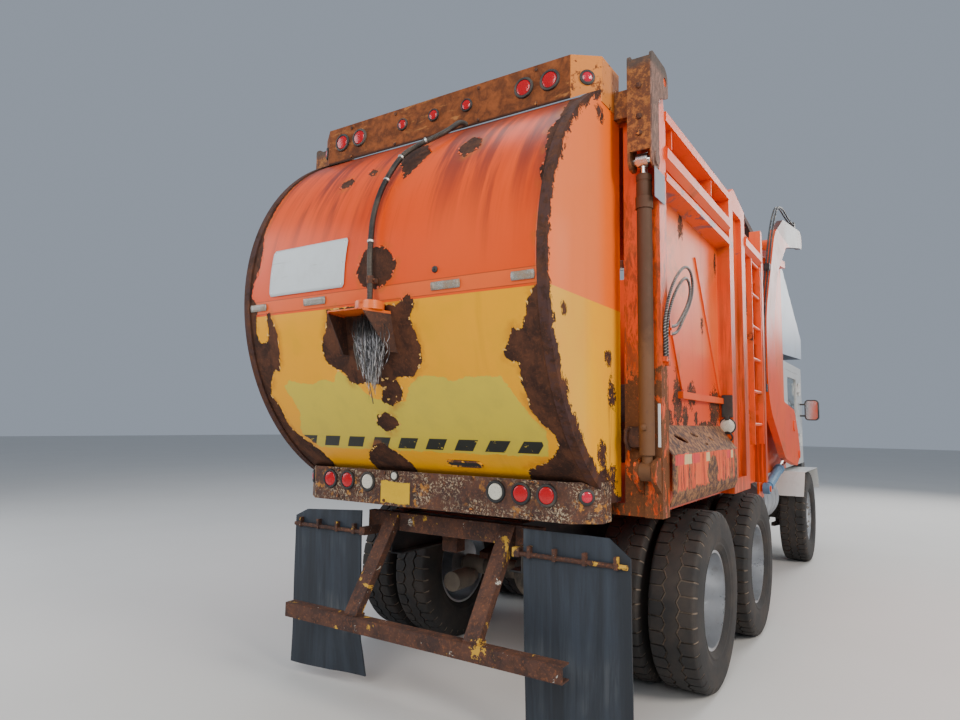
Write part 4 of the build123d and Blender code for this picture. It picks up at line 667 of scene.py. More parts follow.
def hinge_look():
    """Rear plate scaled orange-brown, outer cheek grey-brown with old primer."""
    look = Look("hinge_steel")
    colour, height = rust_of(look, 0.9)
    rear = look.mix(look.noise(34, 6, 0.75).step(0.45, 0.60), (0.14, 0.045, 0.014), (0.42, 0.15, 0.03))
    pale = look.noise(60, 6, 0.8, 0.2, (1.5, 1, 0.3)).step(0.47, 0.60)
    cheek = look.mix(pale, (0.13, 0.075, 0.06), (0.36, 0.20, 0.15))
    scale = look.mix(abs(look.y).step(1.196, 1.2), rear, cheek)
    top = (look.noise(9, 4) * 0.1 + look.z).step(3.44, 3.49)
    return look.finish(look.layers(colour, (0.75, scale), (top * 0.8, GRIME)), 0.8, height, 0.003)


def arm_look(name):
    """Lift arm: orange edges, upper outer faces lightened towards lavender grey by a painted sky reflection,
    a black tip.
    """
    look = Look(name)
    # Painted sky reflection on the upper outer faces.
    sky_reflection = abs(look.y).step(1.162, 1.164) * look.z.step(2.0, 2.7) * look.noise(1.6, 4, 0.6).step(0.30, 0.52)
    tip = (look.noise(9, 5) * 0.06 + look.z).step(3.60, 3.63)
    paint = look.layers(ORANGE, (sky_reflection * 0.8, (0.50, 0.40, 0.42)), (tip, (0.022, 0.022, 0.026)))
    return painted(look, paint, scatter(look, 0.2), streaks=0.4)


def axle_look():
    """Black axle housings; the brake cans between them are pale with dust."""
    look = Look("axle_metal")
    cloud = look.noise(7, 6, 0.65)
    cans = abs(look.y).inside(0.445, 0.62, 0.005)
    shade = look.layers((0.045, 0.038, 0.032), (cloud.step(0.4, 0.7) * 0.5, DUST),
                        (cans * 0.75, look.mix(cloud, (0.13, 0.11, 0.09), (0.27, 0.23, 0.18))))
    return look.finish(shade, 0.75, cloud + look.noise(80, 4), 0.0012)


def rim_look():
    """Polished aluminium dish, dull and spotted, dark in its holes."""
    look = Look("rim_metal")
    cloud = look.noise(5, 6, 0.65)
    shade = look.layers((0.62, 0.64, 0.67), (cloud.step(0.45, 0.75) * 0.5, (0.26, 0.24, 0.22)),
                        (look.noise(38, 5, 0.7).step(0.60, 0.70) * 0.35, GRIME))
    return look.finish(shade, cloud * 0.35 + 0.14, look.noise(150, 3), 0.0005, 0.3, Metallic=0.9)


def tyre_look():
    look = Look("tyre_rubber")
    cloud, fine = look.noise(5, 6, 0.65), look.noise(60, 4)
    packed = look.carried("cut").step(0.3, 1.0) * cloud.step(0.3, 0.55)
    shade = look.layers((0.020, 0.019, 0.019), (cloud.step(0.38, 0.72) * 0.5, (0.075, 0.055, 0.042)),
                        (packed * 0.8, (0.26, 0.20, 0.15)))
    return look.finish(shade, fine * 0.15 + 0.74, fine, 0.0015, 0.35)


def board_look():
    look = Look("white_board")
    stain = look.noise(4, 6, 0.65)
    scratches = look.noise(1.0, 5, 0.7, 0, (1, 2, 60)).step(0.60, 0.66)
    shade = look.layers(WHITE_PANEL, (stain.step(0.45, 0.75) * 0.35, (0.36, 0.37, 0.36)),
                        (scratches * 0.3, GRIME))
    return look.finish(shade, 0.42, stain, 0.001, 0.3)


def reflector_look():
    look = Look("pale_reflector")
    cells = look.cells(230)
    shade = look.layers((0.50, 0.50, 0.46), (cells.step(0.1, 0.5), (0.22, 0.21, 0.18)),
                        (look.noise(16, 5, 0.65).step(0.42, 0.62) * 0.7, (0.26, 0.15, 0.07)))
    return look.finish(shade, 0.35, cells, 0.0008, 0.5, Coat_Weight=0.4)


def strand_look():
    look = Look("frayed_strands")
    pick = look.noise(1.0, 0, 0, 0, (140, 140, 4))
    shade = look.layers((0.05, 0.05, 0.052), (pick.step(0.44, 0.56), (0.34, 0.34, 0.36)),
                        (pick.step(0.62, 0.68), (0.50, 0.49, 0.47)))
    shade = look.mix(look.z.step(2.03, 1.96), (0.014, 0.013, 0.013), shade)
    return look.finish(shade, 0.6, look.noise(200, 2), 0.0004, 0.3)


def flake_look():
    look = Look("paint_flakes")
    edge = look.noise(60, 3)
    shade = look.mix(look.z.step(PAINT_LINE - 0.002, PAINT_LINE + 0.002),
                     look.mix(edge, YELLOW, (0.72, 0.52, 0.20)), look.mix(edge, ORANGE, SALMON))
    return look.finish(shade, 0.5, edge, 0.0005, 0.3)


def cloth_look():
    look = Look("seat_cloth")
    warp, weft = (look.math("PINGPONG", along * 300.0, 0.5) for along in (look.x, look.y))
    shade = look.mix(look.noise(6, 5, 0.6).step(0.45, 0.7), (0.045, 0.048, 0.055), (0.085, 0.082, 0.080))
    return look.finish(shade, 0.9, warp * weft + look.noise(90, 3), 0.0008, 0.4, Sheen_Weight=0.3)


AXLE_METAL = axle_look()
BLACK_RUBBER = rubber("black_rubber", (0.014, 0.014, 0.015), 0.25, 0.6, 60)
CAB_PAINT = satin("cab_paint", (0.62, 0.63, 0.62), 0.3, 0.25, 3, 0.5)
CHROME = metal("chrome", (0.75, 0.74, 0.72), 0.12, 1.0, 0.35, 9)
CLEAR_LENS = lens("clear_lens", (0.62, 0.60, 0.50), 0.0)
GATE_BARREL = barrel_look("gate_barrel", (0.070, 0.028, 0.010), (0.12, 0.050, 0.017), 2.0, 0.5)
RIM_METAL = rim_look()
WINDOW = window_look()
node_looks = {
    "tailgate_shell": side_look(), "tailgate_light_bar": upper_bar_look(),
    "lower_light_bar": lower_bar_look(), "camera_hood": hood_look(), "arm_hoses": arm_hose_look(),
    "body_ribs": rib_look(), "side_sills": sill_look(), "hinge_arms": hinge_look(),
    "arm_left": arm_look("arm_paint_left"), "arm_right": arm_look("arm_paint_right"),
    "tailgate_barrels": GATE_BARREL, "tailgate_rods": CHROME, "arm_rods": CHROME, "headlights": CLEAR_LENS,
    "cab_shell": CAB_PAINT, "door_left": CAB_PAINT, "door_right": CAB_PAINT,
    "cab_glass": WINDOW, "door_glass_left": WINDOW, "door_glass_right": WINDOW,
    "rear_axles": AXLE_METAL, "front_axle": AXLE_METAL,
    "knuckle_left": AXLE_METAL, "knuckle_right": AXLE_METAL,
    # Body wall: the strong salmon above 2.04 m is a painted reflection of glare.
    "body_shell": orange_steel("body_paint", 0.12, WALL_SPOTS, 0.8, 0.45, 1.0, 2.04),
    "hopper_shell": orange_steel("hopper_paint", 0.16, salmon=0.4),
    "ladder": orange_steel("ladder_paint", 0.22),
    "arm_cross_tube": orange_steel("cross_tube_paint", 0.25),
    "forks": plain_steel("fork_steel", 0.5, 0.2, ((ORANGE, 0.3, 9),)),
    "packer_panel": plain_steel("packer_steel", 0.35, 0.2, ((GRIME, 0.5, 4),)),
    "underride_guard": plain_steel("guard_steel", 0.55, 0.2, (((0.50, 0.28, 0.03), 0.42, 5),
                                                              ((0.50, 0.48, 0.42), 0.22, 13))),
    "suspension_springs": plain_steel("spring_steel", 0.3, 0.1),
    # The canopy's pale blue-grey is a painted sky reflection on its orange paint.
    "canopy": satin("canopy_sky_reflection", (0.38, 0.45, 0.55), 0.42, 0.25, 3),
    "chassis_frame": satin("frame_paint", (0.022, 0.022, 0.024), 0.55, 0.3),
    "front_bumper": satin("bumper_paint", (0.03, 0.03, 0.033), 0.42, 0.3),
    "air_tanks": satin("air_tank_paint", (0.03, 0.03, 0.033), 0.45, 0.35),
    "dashboard": satin("dash_plastic", (0.03, 0.03, 0.032), 0.6, 0.25, 8),
    "mirrors": satin("mirror_plastic", (0.02, 0.02, 0.021), 0.45, 0.3, 8),
    "engine_block": metal("cast_metal", (0.10, 0.09, 0.085), 0.6, 0.6, 0.5),
    "fuel_tank": metal("tank_metal", (0.40, 0.42, 0.45), 0.38, 0.7, 0.35),
    "arm_barrels": barrel_look("lift_barrel", (0.10, 0.22, 0.36), (0.10, 0.16, 0.22), 0.6, 0.35),
    "steering_wheel": rubber("wheel_grip", (0.018, 0.018, 0.018), 0.1, 0.55, 90),
}

# Wheels: (tag, ending of its nodes' names, body, station, offsets of the tyres, outer face of the disc)
FRONT_X, TANDEM = 4.72, 1.32
WHEELS = [(f"{place}_{tag}", "s", f"wheels_{place}_{tag}", x, (side * 1.08, side * 0.76), side * 0.934)
          for place, x in (("rear", 0.0), ("mid", TANDEM)) for side, tag in SIDES]
WHEELS += [(f"front_{tag}", "", f"wheel_front_{tag}", FRONT_X, (side * 1.03,), side * 1.104)
           for side, tag in SIDES]
for tag, ending, *_ in WHEELS:
    node_looks[f"{tag}_rim{ending}"] = RIM_METAL
for node, look in node_looks.items():
    slots = nodes[node].data.materials
    if len(slots) == 0:
        slots.append(look)
    for index in range(len(slots)):
        slots[index] = look


def heading(path, k):
    """Direction of a path of points at one of them."""
    return (path[min(k + 1, len(path) - 1)] - path[max(k - 1, 0)]).normalized()


def ring_of(centre, a, b, r, count):
    """Circle of points in the plane of two directions."""
    turns = [2 * math.pi * k / count for k in range(count)]
    return [centre + (a * math.cos(t) + b * math.sin(t)) * r for t in turns]


def peg(r, high, top, tip, low=0.0):
    """Section of a round peg: its side up to high, then its edge drawn in to tip at top."""
    return (low, r), (high, r), (top, tip)


class Stock:
    """Gathers small turned, swept and boxed forms into one piece."""

    def __init__(self):
        self.points, self.faces = [], []

    def grid(self, rings, caps=True, joined=False):
        """Joins rings of points, each to the next; joined ties the last to the first."""
        start, count = len(self.points), len(rings[0])
        self.points += [tuple(point) for ring in rings for point in ring]
        for row in range(len(rings) if joined else len(rings) - 1):
            a, b = start + row * count, start + (row + 1) % len(rings) * count
            self.faces += [(a + k, a + (k + 1) % count, b + (k + 1) % count, b + k) for k in range(count)]
        if caps:
            self.faces += [tuple(reversed(range(start, start + count))), tuple(range(b, b + count))]

    def turned(self, origin, axis, section, count=24):
        """Turns (distance along the axis, radius) pairs about it."""
        axis = Vector(axis).normalized()
        across = axis.orthogonal().normalized()
        other = axis.cross(across)
        self.grid([ring_of(Vector(origin) + axis * along, across, other, r, count) for along, r in section])

    def swept(self, path, radii, count=8):
        """Round tube through points, with one radius or one for each."""
        path = [Vector(point) for point in path]
        radii = radii if isinstance(radii, list) else [radii] * len(path)
        across, rings = heading(path, 0).orthogonal(), []
        for k, (point, r) in enumerate(zip(path, radii)):
            ahead = heading(path, k)
            across = (across - ahead * across.dot(ahead)).normalized()
            rings.append(ring_of(point, across, ahead.cross(across), r, count))
        self.grid(rings)

    def box(self, corner, far_corner, soft=0.003):
        """Box with its corners cut back a little."""
        centre = (Vector(corner) + Vector(far_corner)) / 2
        half = [abs(far - near_by) / 2 for near_by, far in zip(corner, far_corner)]
        rings = []
        for z, inset in ((-half[2], soft), (soft - half[2], 0.0), (half[2] - soft, 0.0), (half[2], soft)):
            hx, hy = half[0] - inset, half[1] - inset
            cut = min(soft, hx * 0.5, hy * 0.5)
            outline = ((hx, hy - cut), (hx - cut, hy), (cut - hx, hy), (-hx, hy - cut),
                       (-hx, cut - hy), (cut - hx, -hy), (hx - cut, -hy), (hx, cut - hy))
            rings.append([centre + Vector((x, y, z)) for x, y in outline])
        self.grid(rings)

    def piece(self, name, body, slot, look, replaces=(), smooth=True):
        mesh = new_mesh(name, self.points, self.faces, smooth)
        if smooth:
            mesh.set_sharp_from_angle(angle=math.radians(38))
        return seat_on(place_in_scene(name, mesh), body, look, replaces)


# Tyres with moulded tread: zigzag grooves and shoulder slots cut into a turned form
TYRE_R, BEAD_R, AXLE_Z = 0.530, 0.292, 0.530
TYRE_WALL = ((0.0, 0.105), (0.012, 0.118), (0.030, 0.128), (0.036, 0.1325), (0.044, 0.1325), (0.050, 0.1315),
             (0.08, 0.1385), (0.12, 0.140), (0.16, 0.1395), (0.192, 0.1375))
SHOULDER = ((-0.040, 0.1365), (-0.028, 0.1335), (-0.014, 0.127), (-0.006, 0.118))
SHOULDER_CUT, GROOVE_DEPTH, CROWN_DROP, TREAD_HALF = 0.011, 0.016, 0.0035, 0.110
SLOT_LINES = (0.108, 0.0945, 0.076)
GROOVE_AT, GROOVE_HALF, GROOVE_SWING = 0.041, 0.0065, 0.0095
TREAD_PITCHES = 40
PITCH_PARTS = (0.0, 0.006, 0.128, 0.134, 0.25, 0.4, 0.5, 0.506, 0.628, 0.634, 0.75, 0.9)


def tread_line(share):
    """(radius, offset, cut) across one tyre at a share of the turn; the lines follow the zigzag grooves."""
    pitch = share * TREAD_PITCHES % 1
    left, right = (float(0.003 < (pitch + shift) % 1 < 0.132) for shift in (0.0, 0.5))

    def groove(centre, outer, inner):
        middle = centre + GROOVE_SWING * (abs(pitch - 0.5) * 4 - 1)
        return [(middle + GROOVE_HALF, outer * 0.8), (middle + GROOVE_HALF * 0.6, 1.0),
                (middle - GROOVE_HALF * 0.6, 1.0), (middle - GROOVE_HALF, inner * 0.8)]

    crown = [(y, left) for y in SLOT_LINES] + groove(GROOVE_AT, left, 0.0) + [(0.0, 0.0)]
    crown += groove(-GROOVE_AT, 0.0, right) + [(-y, right) for y in reversed(SLOT_LINES)]
    wall = [(BEAD_R + r, y, 0.0) for r, y in TYRE_WALL]
    shoulders = [[(TYRE_R + r - SHOULDER_CUT * cut, y, cut) for r, y in SHOULDER] for cut in (left, right)]
    top = [(TYRE_R - CROWN_DROP * (y / TREAD_HALF) ** 2 - GROOVE_DEPTH * cut, y, cut) for y, cut in crown]
    mirrored = [(r, -y, cut) for r, y, cut in reversed(wall + shoulders[1])]
    return wall + shoulders[0] + top + mirrored


TREAD_SHARES = [(pitch + part) / TREAD_PITCHES for pitch in range(TREAD_PITCHES) for part in PITCH_PARTS]
TREAD = [(2 * math.pi * share, tread_line(share)) for share in TREAD_SHARES]
tyre_rubber = tyre_look()
for tag, ending, body, x, offsets, _ in WHEELS:
    tyres = Stock()
    for y0 in offsets:
        tyres.grid([[(at(x) + r * math.cos(turn), y0 + y, AXLE_Z + r * math.sin(turn)) for r, y, _ in line]
                    for turn, line in TREAD], caps=False, joined=True)
    node = f"{tag}_tyre{ending}"
    piece = tyres.piece(node + "_treaded", body, "tyre", tyre_rubber, (node,), smooth=False)
    carry(piece.data, "cut", [cut for _, line in TREAD for _, _, cut in line] * len(offsets))

# Lamps: domed lenses in black rubber rings
UPPER_FACE, LOWER_FACE, BACK = -1.33, -1.34, (-1, 0, 0)
RED_LAMPS = [(LOWER_FACE, y, 1.23, 0.052) for y in (0.726, 0.585, -0.595, -0.739)]
RED_LAMPS += [(UPPER_FACE, y, 3.345, 0.052) for y in (0.737, 0.59, -0.586, -0.74)]
RED_LAMPS += [(UPPER_FACE, y, 3.345, 0.034) for y in (0.242, 0.01, -0.221)]
CLEAR_LAMPS = [(LOWER_FACE, y, 1.23, 0.052) for y in (0.425, -0.448)] + [(LOWER_FACE, 0.223, 1.272, 0.026)]
LAMP_RING = ((0.0, 1.10), (0.006, 1.10), (0.011, 1.04), (0.0125, 0.94), (0.011, 0.84), (0.004, 0.80),
             (0.0, 0.80))
LENS_DOME = [(0.0, 0.80)]
LENS_DOME += [(0.008 + 0.006 * math.cos(t) ** 0.8, 0.80 * math.sin(t))
              for t in (math.pi / 2 * (1 - k / 6) for k in range(6))]
rings = Stock()
for kind, places, look in (("red", RED_LAMPS, lens("red_lens", (0.46, 0.0, 0.004), 0.03)),
                           ("clear", CLEAR_LAMPS, CLEAR_LENS)):
    lenses = Stock()
    for x, y, z, r in places:
        dome = [(along, r * share) for along, share in LENS_DOME] + [(0.014, 0.001)]
        lenses.turned((at(x), y, z), BACK, dome, 32)
        rings.turned((at(x), y, z), BACK, [(along, r * share) for along, share in LAMP_RING], 32)
    lenses.piece("lenses_" + kind, "tailgate", kind + "_lens", look, (kind + "_lamps",))
rings.piece("lamp_rings", "tailgate", "wire_rubber", BLACK_RUBBER)

# Markers on the slanted ends of both bars
markers, marker_rings = Stock(), Stock()
for face, z in ((UPPER_FACE, 3.331), (LOWER_FACE, 1.231)):
    for side, _ in SIDES:
        out = Vector((-0.128, side * 0.1, 0)).normalized()
        spot = Vector((at(face) + 0.052, side * 0.924, z)) + out * 0.0005
        markers.turned(spot, out, ((0.0, 0.026), (0.008, 0.026), (0.012, 0.018), (0.0135, 0.001)))
        marker_rings.turned(spot, out, ((0.0, 0.040), (0.006, 0.040), (0.010, 0.034), (0.010, 0.027),
                                        (0.0, 0.0265)))
markers.piece("end_markers", "tailgate", "red_lens", lens("pink_lens", (0.50, 0.012, 0.035), 0.03))
marker_rings.piece("end_marker_rings", "tailgate", "wire_rubber", BLACK_RUBBER)


# Blank white board and pale reflectors, standing a little off the curved skin
def arc_sheet(y_span, z_span, lift, corner, columns, rows):
    """Sheet over the skin between two offsets and two heights, its corners drawn in."""
    (y1, y2), (low, high) = y_span, (turn_at(z) for z in z_span)
    lines = []
    for row in range(rows + 1):
        base, out = skin_point(low + (high - low) * row / rows)
        spot = base + out * lift
        line = [y1 + (y2 - y1) * column / columns for column in range(columns + 1)]
        if row in (0, rows):
            line = [y1 + corner, *line[1:-1], y2 - corner]
        lines.append([(spot.x, y, spot.z) for y in line])
    return new_sheet("sheet", lines, 1)


def on_skin(y, z, lift=0.0):
    """Point a lift above the sheet at an offset and height, and the outward direction there."""
    base, out = skin_point(turn_at(z))
    return base + Vector((0, y, 0)) + out * lift, out


board_mesh = arc_sheet((0.187, 0.762), (2.263, 2.527), 0.0095, 0.012, 24, 16)
thicken(seat_on(place_in_scene("white_board", board_mesh), "tailgate", board_look()), 0.002)
reflective = reflector_look()
for index, span in enumerate(((0.79, 0.925), (0.322, 0.488), (-0.54, -0.372), (-0.925, -0.807))):
    strip_mesh = arc_sheet(span, (2.190, 2.229), 0.0085, 0.003, 6, 3)
    strip = seat_on(place_in_scene(f"reflector_{index}", strip_mesh), "tailgate", reflective)
    thicken(strip, 0.002)
rivets = Stock()
for y in (0.205, 0.745):
    for z in (2.28, 2.395, 2.51):
        rivets.turned(*on_skin(y, z, 0.0093), ((0.0, 0.006), (0.0015, 0.0055), (0.0028, 0.003),
                                               (0.003, 0.0005)), 10)
rivets.piece("board_rivets", "tailgate", "grey_metal", CHROME)


# Conduit ties, clamp, plug and handle slot on the skin
def conduit_centre(x, y, z, ahead, reach=0.05, slab=0.014):
    """Centre of the CAD's conduit near a place, from its own vertices."""
    guess = Vector((at(x), y, z))
    near_by = [v.co for v in nodes["tailgate_wiring"].data.vertices
               if (v.co - guess).length < reach and abs((v.co - guess).dot(ahead)) < slab]
    return sum(near_by, Vector()) / len(near_by) if near_by else guess


ties = Stock()
for place, ahead in (((-1.545, -0.105, 3.085), (-0.4, 0.85, -0.4)),
                     ((-1.636, -0.006, 2.98), (-0.6, 0.3, -0.75)),
                     ((-1.715, 0.014, 2.845), (-0.5, 0.1, -0.87)),
                     ((-1.845, -0.006, 2.47), (-0.15, -0.1, -1))):
    ahead = Vector(ahead).normalized()
    ties.turned(conduit_centre(*place, ahead) - ahead * 0.006, ahead,
                ((0.0, 0.0162), (0.001, 0.0175), (0.011, 0.0175), (0.012, 0.0162)), 20)
tie_metal = metal("tie_metal", (0.55, 0.55, 0.52), 0.35, 0.9, 0.4, 20)
ties.piece("conduit_ties", "tailgate", "grey_metal", tie_metal)
clamp = Stock()
centre = conduit_centre(-1.869, -0.033, 2.262, Vector((0, 0, 1)))
clamp.turned(centre - Vector((0, 0, 0.02)), (0, 0, 1),
             ((0.0, 0.0160), (0.002, 0.0195), (0.038, 0.0195), (0.040, 0.0160)))
clamp.box(centre + Vector((0.012, -0.012, -0.014)), centre + Vector((0.046, 0.012, 0.014)))
clamp.turned(centre - Vector((0, 0.034, 0)), (0, 1, 0), peg(0.007, 0.016, 0.018, 0.004), 8)
clamp.piece("conduit_clamp", "tailgate", "hood_steel", plain_steel("clamp_steel", 0.8))
plug = Stock()
plug.turned(*on_skin(-0.396, 2.288, 0.004), ((0.0, 0.016), (0.006, 0.016), (0.009, 0.012), (0.009, 0.006),
                                             (0.014, 0.005), (0.015, 0.001)), 16)
plug.piece("skin_plug", "tailgate", "wire_rubber", BLACK_RUBBER)


def rounded_ring(half_across, half_up, r):
    """Outline of a rectangle with round corners, six points to each."""
    a, b = half_across - r, half_up - r
    turns = [[math.radians(first + 18 * k) for k in range(6)] for first in (0, 90, 180, 270)]
    return [(across + r * math.cos(t), up + r * math.sin(t))
            for (across, up), corner in zip(((a, b), (-a, b), (-a, -b), (a, -b)), turns) for t in corner]


middle, out = on_skin(-0.279, 1.368)
along = Vector((0, 1, 0)).cross(out).normalized()


def slot_ring(half_across, half_up, r, lift):
    return [middle + out * lift + Vector((0, a, 0)) + along * b
            for a, b in rounded_ring(half_across, half_up, r)]


slot_rim, slot_dark = Stock(), Stock()
slot_rim.grid([slot_ring(across, up, up - 0.001, lift) for across, up, lift in (
    (0.110, 0.025, 0.0), (0.112, 0.027, 0.008), (0.108, 0.023, 0.013), (0.102, 0.017, 0.012),
    (0.100, 0.015, 0.006))], caps=False)
slot_dark.grid([slot_ring(0.101, 0.016, 0.015, lift) for lift in (0.0035, 0.0085)])
slot_steel = plain_steel("slot_steel", 0.5, 0.0, ((YELLOW, 0.6, 20),))
slot_rim.piece("handle_slot_rim", "tailgate", "gate_paint", slot_steel)
slot_dark.piece("handle_slot", "tailgate", "wire_rubber", BLACK_RUBBER)

# Frayed bundle under the hood
STRANDS, STRAND_POINTS, BUNDLE_X, BUNDLE_TOP = 150, 12, -1.838, 2.085
chance = random.Random(SEED)
bundle = Stock()
for index in range(STRANDS):
    across = max(-2.1, min(2.1, chance.gauss(0, 1)))
    x0, deep = at(BUNDLE_X) + chance.uniform(-0.03, 0.03), chance.uniform(-0.012, 0.012)
    foot = 1.725 + abs(across) * 0.065 + chance.uniform(-0.03, 0.09) - (0.06 if index % 29 == 0 else 0)
    wave, phase, turns = chance.uniform(0.003, 0.010), chance.uniform(0, 6), chance.uniform(9, 17)
    path = []
    for k in range(STRAND_POINTS):
        share = k / (STRAND_POINTS - 1)
        bulge = math.sin(math.pi * min(1.0, 0.22 + share * 0.72))
        sway = wave * math.cos(phase * 1.7 + share * turns * 0.8)
        path.append((x0 + deep * share + wave * share * math.sin(phase + share * turns),
                     0.005 - 0.050 * share + across * (0.022 + 0.032 * bulge) + sway,
                     BUNDLE_TOP + (foot - BUNDLE_TOP) * share))
    r = chance.choice((0.0009, 0.0012, 0.0016))
    bundle.swept(path, [0.4 * r] + [r] * (STRAND_POINTS - 2) + [0.4 * r], 4)
bundle.piece("frayed_bundle", "tailgate", "wire_rubber", strand_look(), ("tailgate_wiring",))


def smooth_line(name, route, r=0.0, rounds=0):
    """Curve of one smooth spline through the middle of a route, and its points; r makes it a round tube."""
    curve = bpy.data.curves.new(name, "CURVE")
    curve.dimensions = "3D"
    spline = curve.splines.new("NURBS")
    spline.points.add(len(route) - 1)
    for point, (x, y, z) in zip(spline.points, route):
        point.co = (at(x), y, z, 1)
    spline.order_u = 3
    spline.use_endpoint_u = True
    spline.resolution_u = 12
    piece = place_in_scene(name, curve)
    bpy.context.view_layer.update()
    line = [v.co.copy() for v in bpy.data.meshes.new_from_object(piece).vertices]
    curve.bevel_depth = r
    curve.bevel_resolution = rounds
    curve.use_fill_caps = True
    return piece, line


def spread_evenly(points, gap):
    """Points a gap apart along a line of points."""
    even, left = [points[0]], gap
    for a, b in zip(points, points[1:]):
        run = (b - a).length
        while run >= left:
            a = a + (b - a) * (left / run)
            run = (b - a).length
            even.append(a)
            left = gap
        left -= run
    return even


# Ribbed conduit from the light bar to the hood's cap: (station, offset, height)
CONDUIT_ROUTE = (
    (-1.3303, -0.215, 3.236), (-1.378, -0.215, 3.236), (-1.445, -0.204, 3.172), (-1.515, -0.172, 3.110),
    (-1.575, -0.040, 3.050), (-1.640, -0.002, 2.975), (-1.745, 0.020, 2.790), (-1.812, 0.014, 2.620),
    (-1.846, -0.006, 2.470), (-1.862, -0.020, 2.340), (-1.870, -0.035, 2.250), (-1.880, -0.045, 2.200),
    (-1.880, -0.045, 2.1593),
)
CONDUIT_PITCH, CONDUIT_RIB = 0.0075, (0.0150, 0.0150, 0.0128, 0.0128)
guide, line = smooth_line("conduit_guide", CONDUIT_ROUTE)
bpy.data.objects.remove(guide)
even = spread_evenly(line, CONDUIT_PITCH / len(CONDUIT_RIB))
conduit = Stock()
conduit.swept(even, [CONDUIT_RIB[k % len(CONDUIT_RIB)] for k in range(len(even))], 16)
conduit_rubber = rubber("conduit_rubber", (0.012, 0.012, 0.013), 0.35, 0.5, 60)
conduit.piece("conduit", "tailgate", "wire_rubber", conduit_rubber, ("tailgate_wiring",))

# Torn leads that hang from the cap, inside the hood: (name, thickness, length, route)
cable_skin = rubber("cable_skin", (0.013, 0.012, 0.012), 0.3, 0.5, 50)
LEADS = (
    ("torn_lead_a", 0.009, 0.28, (
        (-1.820, 0.060, 2.105), (-1.826, 0.070, 2.050), (-1.834, 0.090, 1.990), (-1.842, 0.086, 1.935),
        (-1.838, 0.070, 1.885), (-1.832, 0.060, 1.830))),
    ("torn_lead_b", 0.007, 0.31, (
        (-1.850, 0.030, 2.105), (-1.852, 0.048, 2.040), (-1.858, 0.062, 1.975), (-1.862, 0.050, 1.915),
        (-1.858, 0.030, 1.860), (-1.850, 0.012, 1.800))),
    ("torn_lead_c", 0.005, 0.45, (
        (-1.862, 0.000, 2.105), (-1.866, 0.010, 2.030), (-1.872, 0.004, 1.950), (-1.874, -0.014, 1.870),
        (-1.868, -0.034, 1.790), (-1.860, -0.056, 1.715), (-1.856, -0.066, 1.660))),
)
for name, thick, length, route in LEADS:
    lead, line = smooth_line(name, route, thick / 2, 4)
    seat_on(lead, "tailgate", cable_skin, ("tailgate_wiring",))
    tuple(line[0])

# Hydraulic hoses that loop off the rear posts, each with a wound wire guard: (station, height)
HOSE_LOOPS = (
    ("outer", 1.49, (
        (-0.965, 1.922), (-0.965, 1.985), (-0.980, 2.080), (-0.890, 2.260), (-0.750, 2.385),
        (-0.590, 2.470), (-0.470, 2.460), (-0.430, 2.365), (-0.510, 2.255), (-0.640, 2.160),
        (-0.780, 2.050), (-0.886, 2.050))),
    ("inner", 1.26, (
        (-0.930, 1.902), (-0.930, 1.985), (-0.938, 2.080), (-0.858, 2.215), (-0.735, 2.325),
        (-0.600, 2.402), (-0.520, 2.395), (-0.490, 2.335), (-0.560, 2.245), (-0.680, 2.160),
        (-0.790, 2.090), (-0.886, 2.090))),
)
HOSE_R, HOSE_WITH_GUARD_R, GUARD_WIRE_R = 0.0075, 0.009, 0.0016
GUARD_PITCH, GUARD_STEPS = 0.016, 10
hose_rubber = rubber("hose_rubber", (0.014, 0.014, 0.015), 0.25, 0.45, 60)
guard_wire = metal("guard_wire", (0.50, 0.50, 0.48), 0.4, 0.7, 0.4, 20)
hose_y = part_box("body_hoses")[1][1] - HOSE_WITH_GUARD_R
for side, tag in SIDES:
    for kind, length, loop in HOSE_LOOPS:
        name = f"body_hose_{kind}_{tag}"
        hose, line = smooth_line(name, [(x, side * hose_y, z) for x, z in loop], HOSE_R, 5)
        seat_on(hose, "truck", hose_rubber, ("body_hoses",))
        even = spread_evenly(line, GUARD_PITCH / GUARD_STEPS)
        out, winding = Vector((0, 1, 0)), []
        for k, centre in enumerate(even):
            t = 2 * math.pi * k / GUARD_STEPS
            around = out * math.cos(t) + heading(even, k).cross(out) * math.sin(t)
            winding.append(centre + around * (HOSE_WITH_GUARD_R - GUARD_WIRE_R))
        guard = Stock()
        guard.swept(winding, GUARD_WIRE_R, 4)
        guard_piece = guard.piece(name + "_guard", "truck", "grey_metal", guard_wire)
        tuple(line[0])

# Curled flakes of paint where it has torn away from the skin
FLAKE_GAP, FLAKE_LIFT, FLAKE_THICK = 0.035, 0.0045, 0.0008
flakes = Stock()


def flake(y, z, size, curl, turn):
    origin, out = on_skin(y, z, FLAKE_LIFT)
    up = Vector((0, 1, 0)).cross(out).normalized()
    a = Vector((0, 1, 0)) * math.cos(turn) + up * math.sin(turn)
    b = out.cross(a)
    rings = []
    for share in (0, 0.25, 0.5, 0.75, 1):
        wide = b * (size * (1.0 - 0.75 * share) * chance.uniform(0.75, 1.1))
        centre = origin + a * (size * 0.9 * share) + out * (curl * share * share)
        raised = centre + out * FLAKE_THICK
        rings.append([centre + wide, raised + wide * 0.6, raised - wide * 0.6, centre - wide])
    flakes.grid(rings)


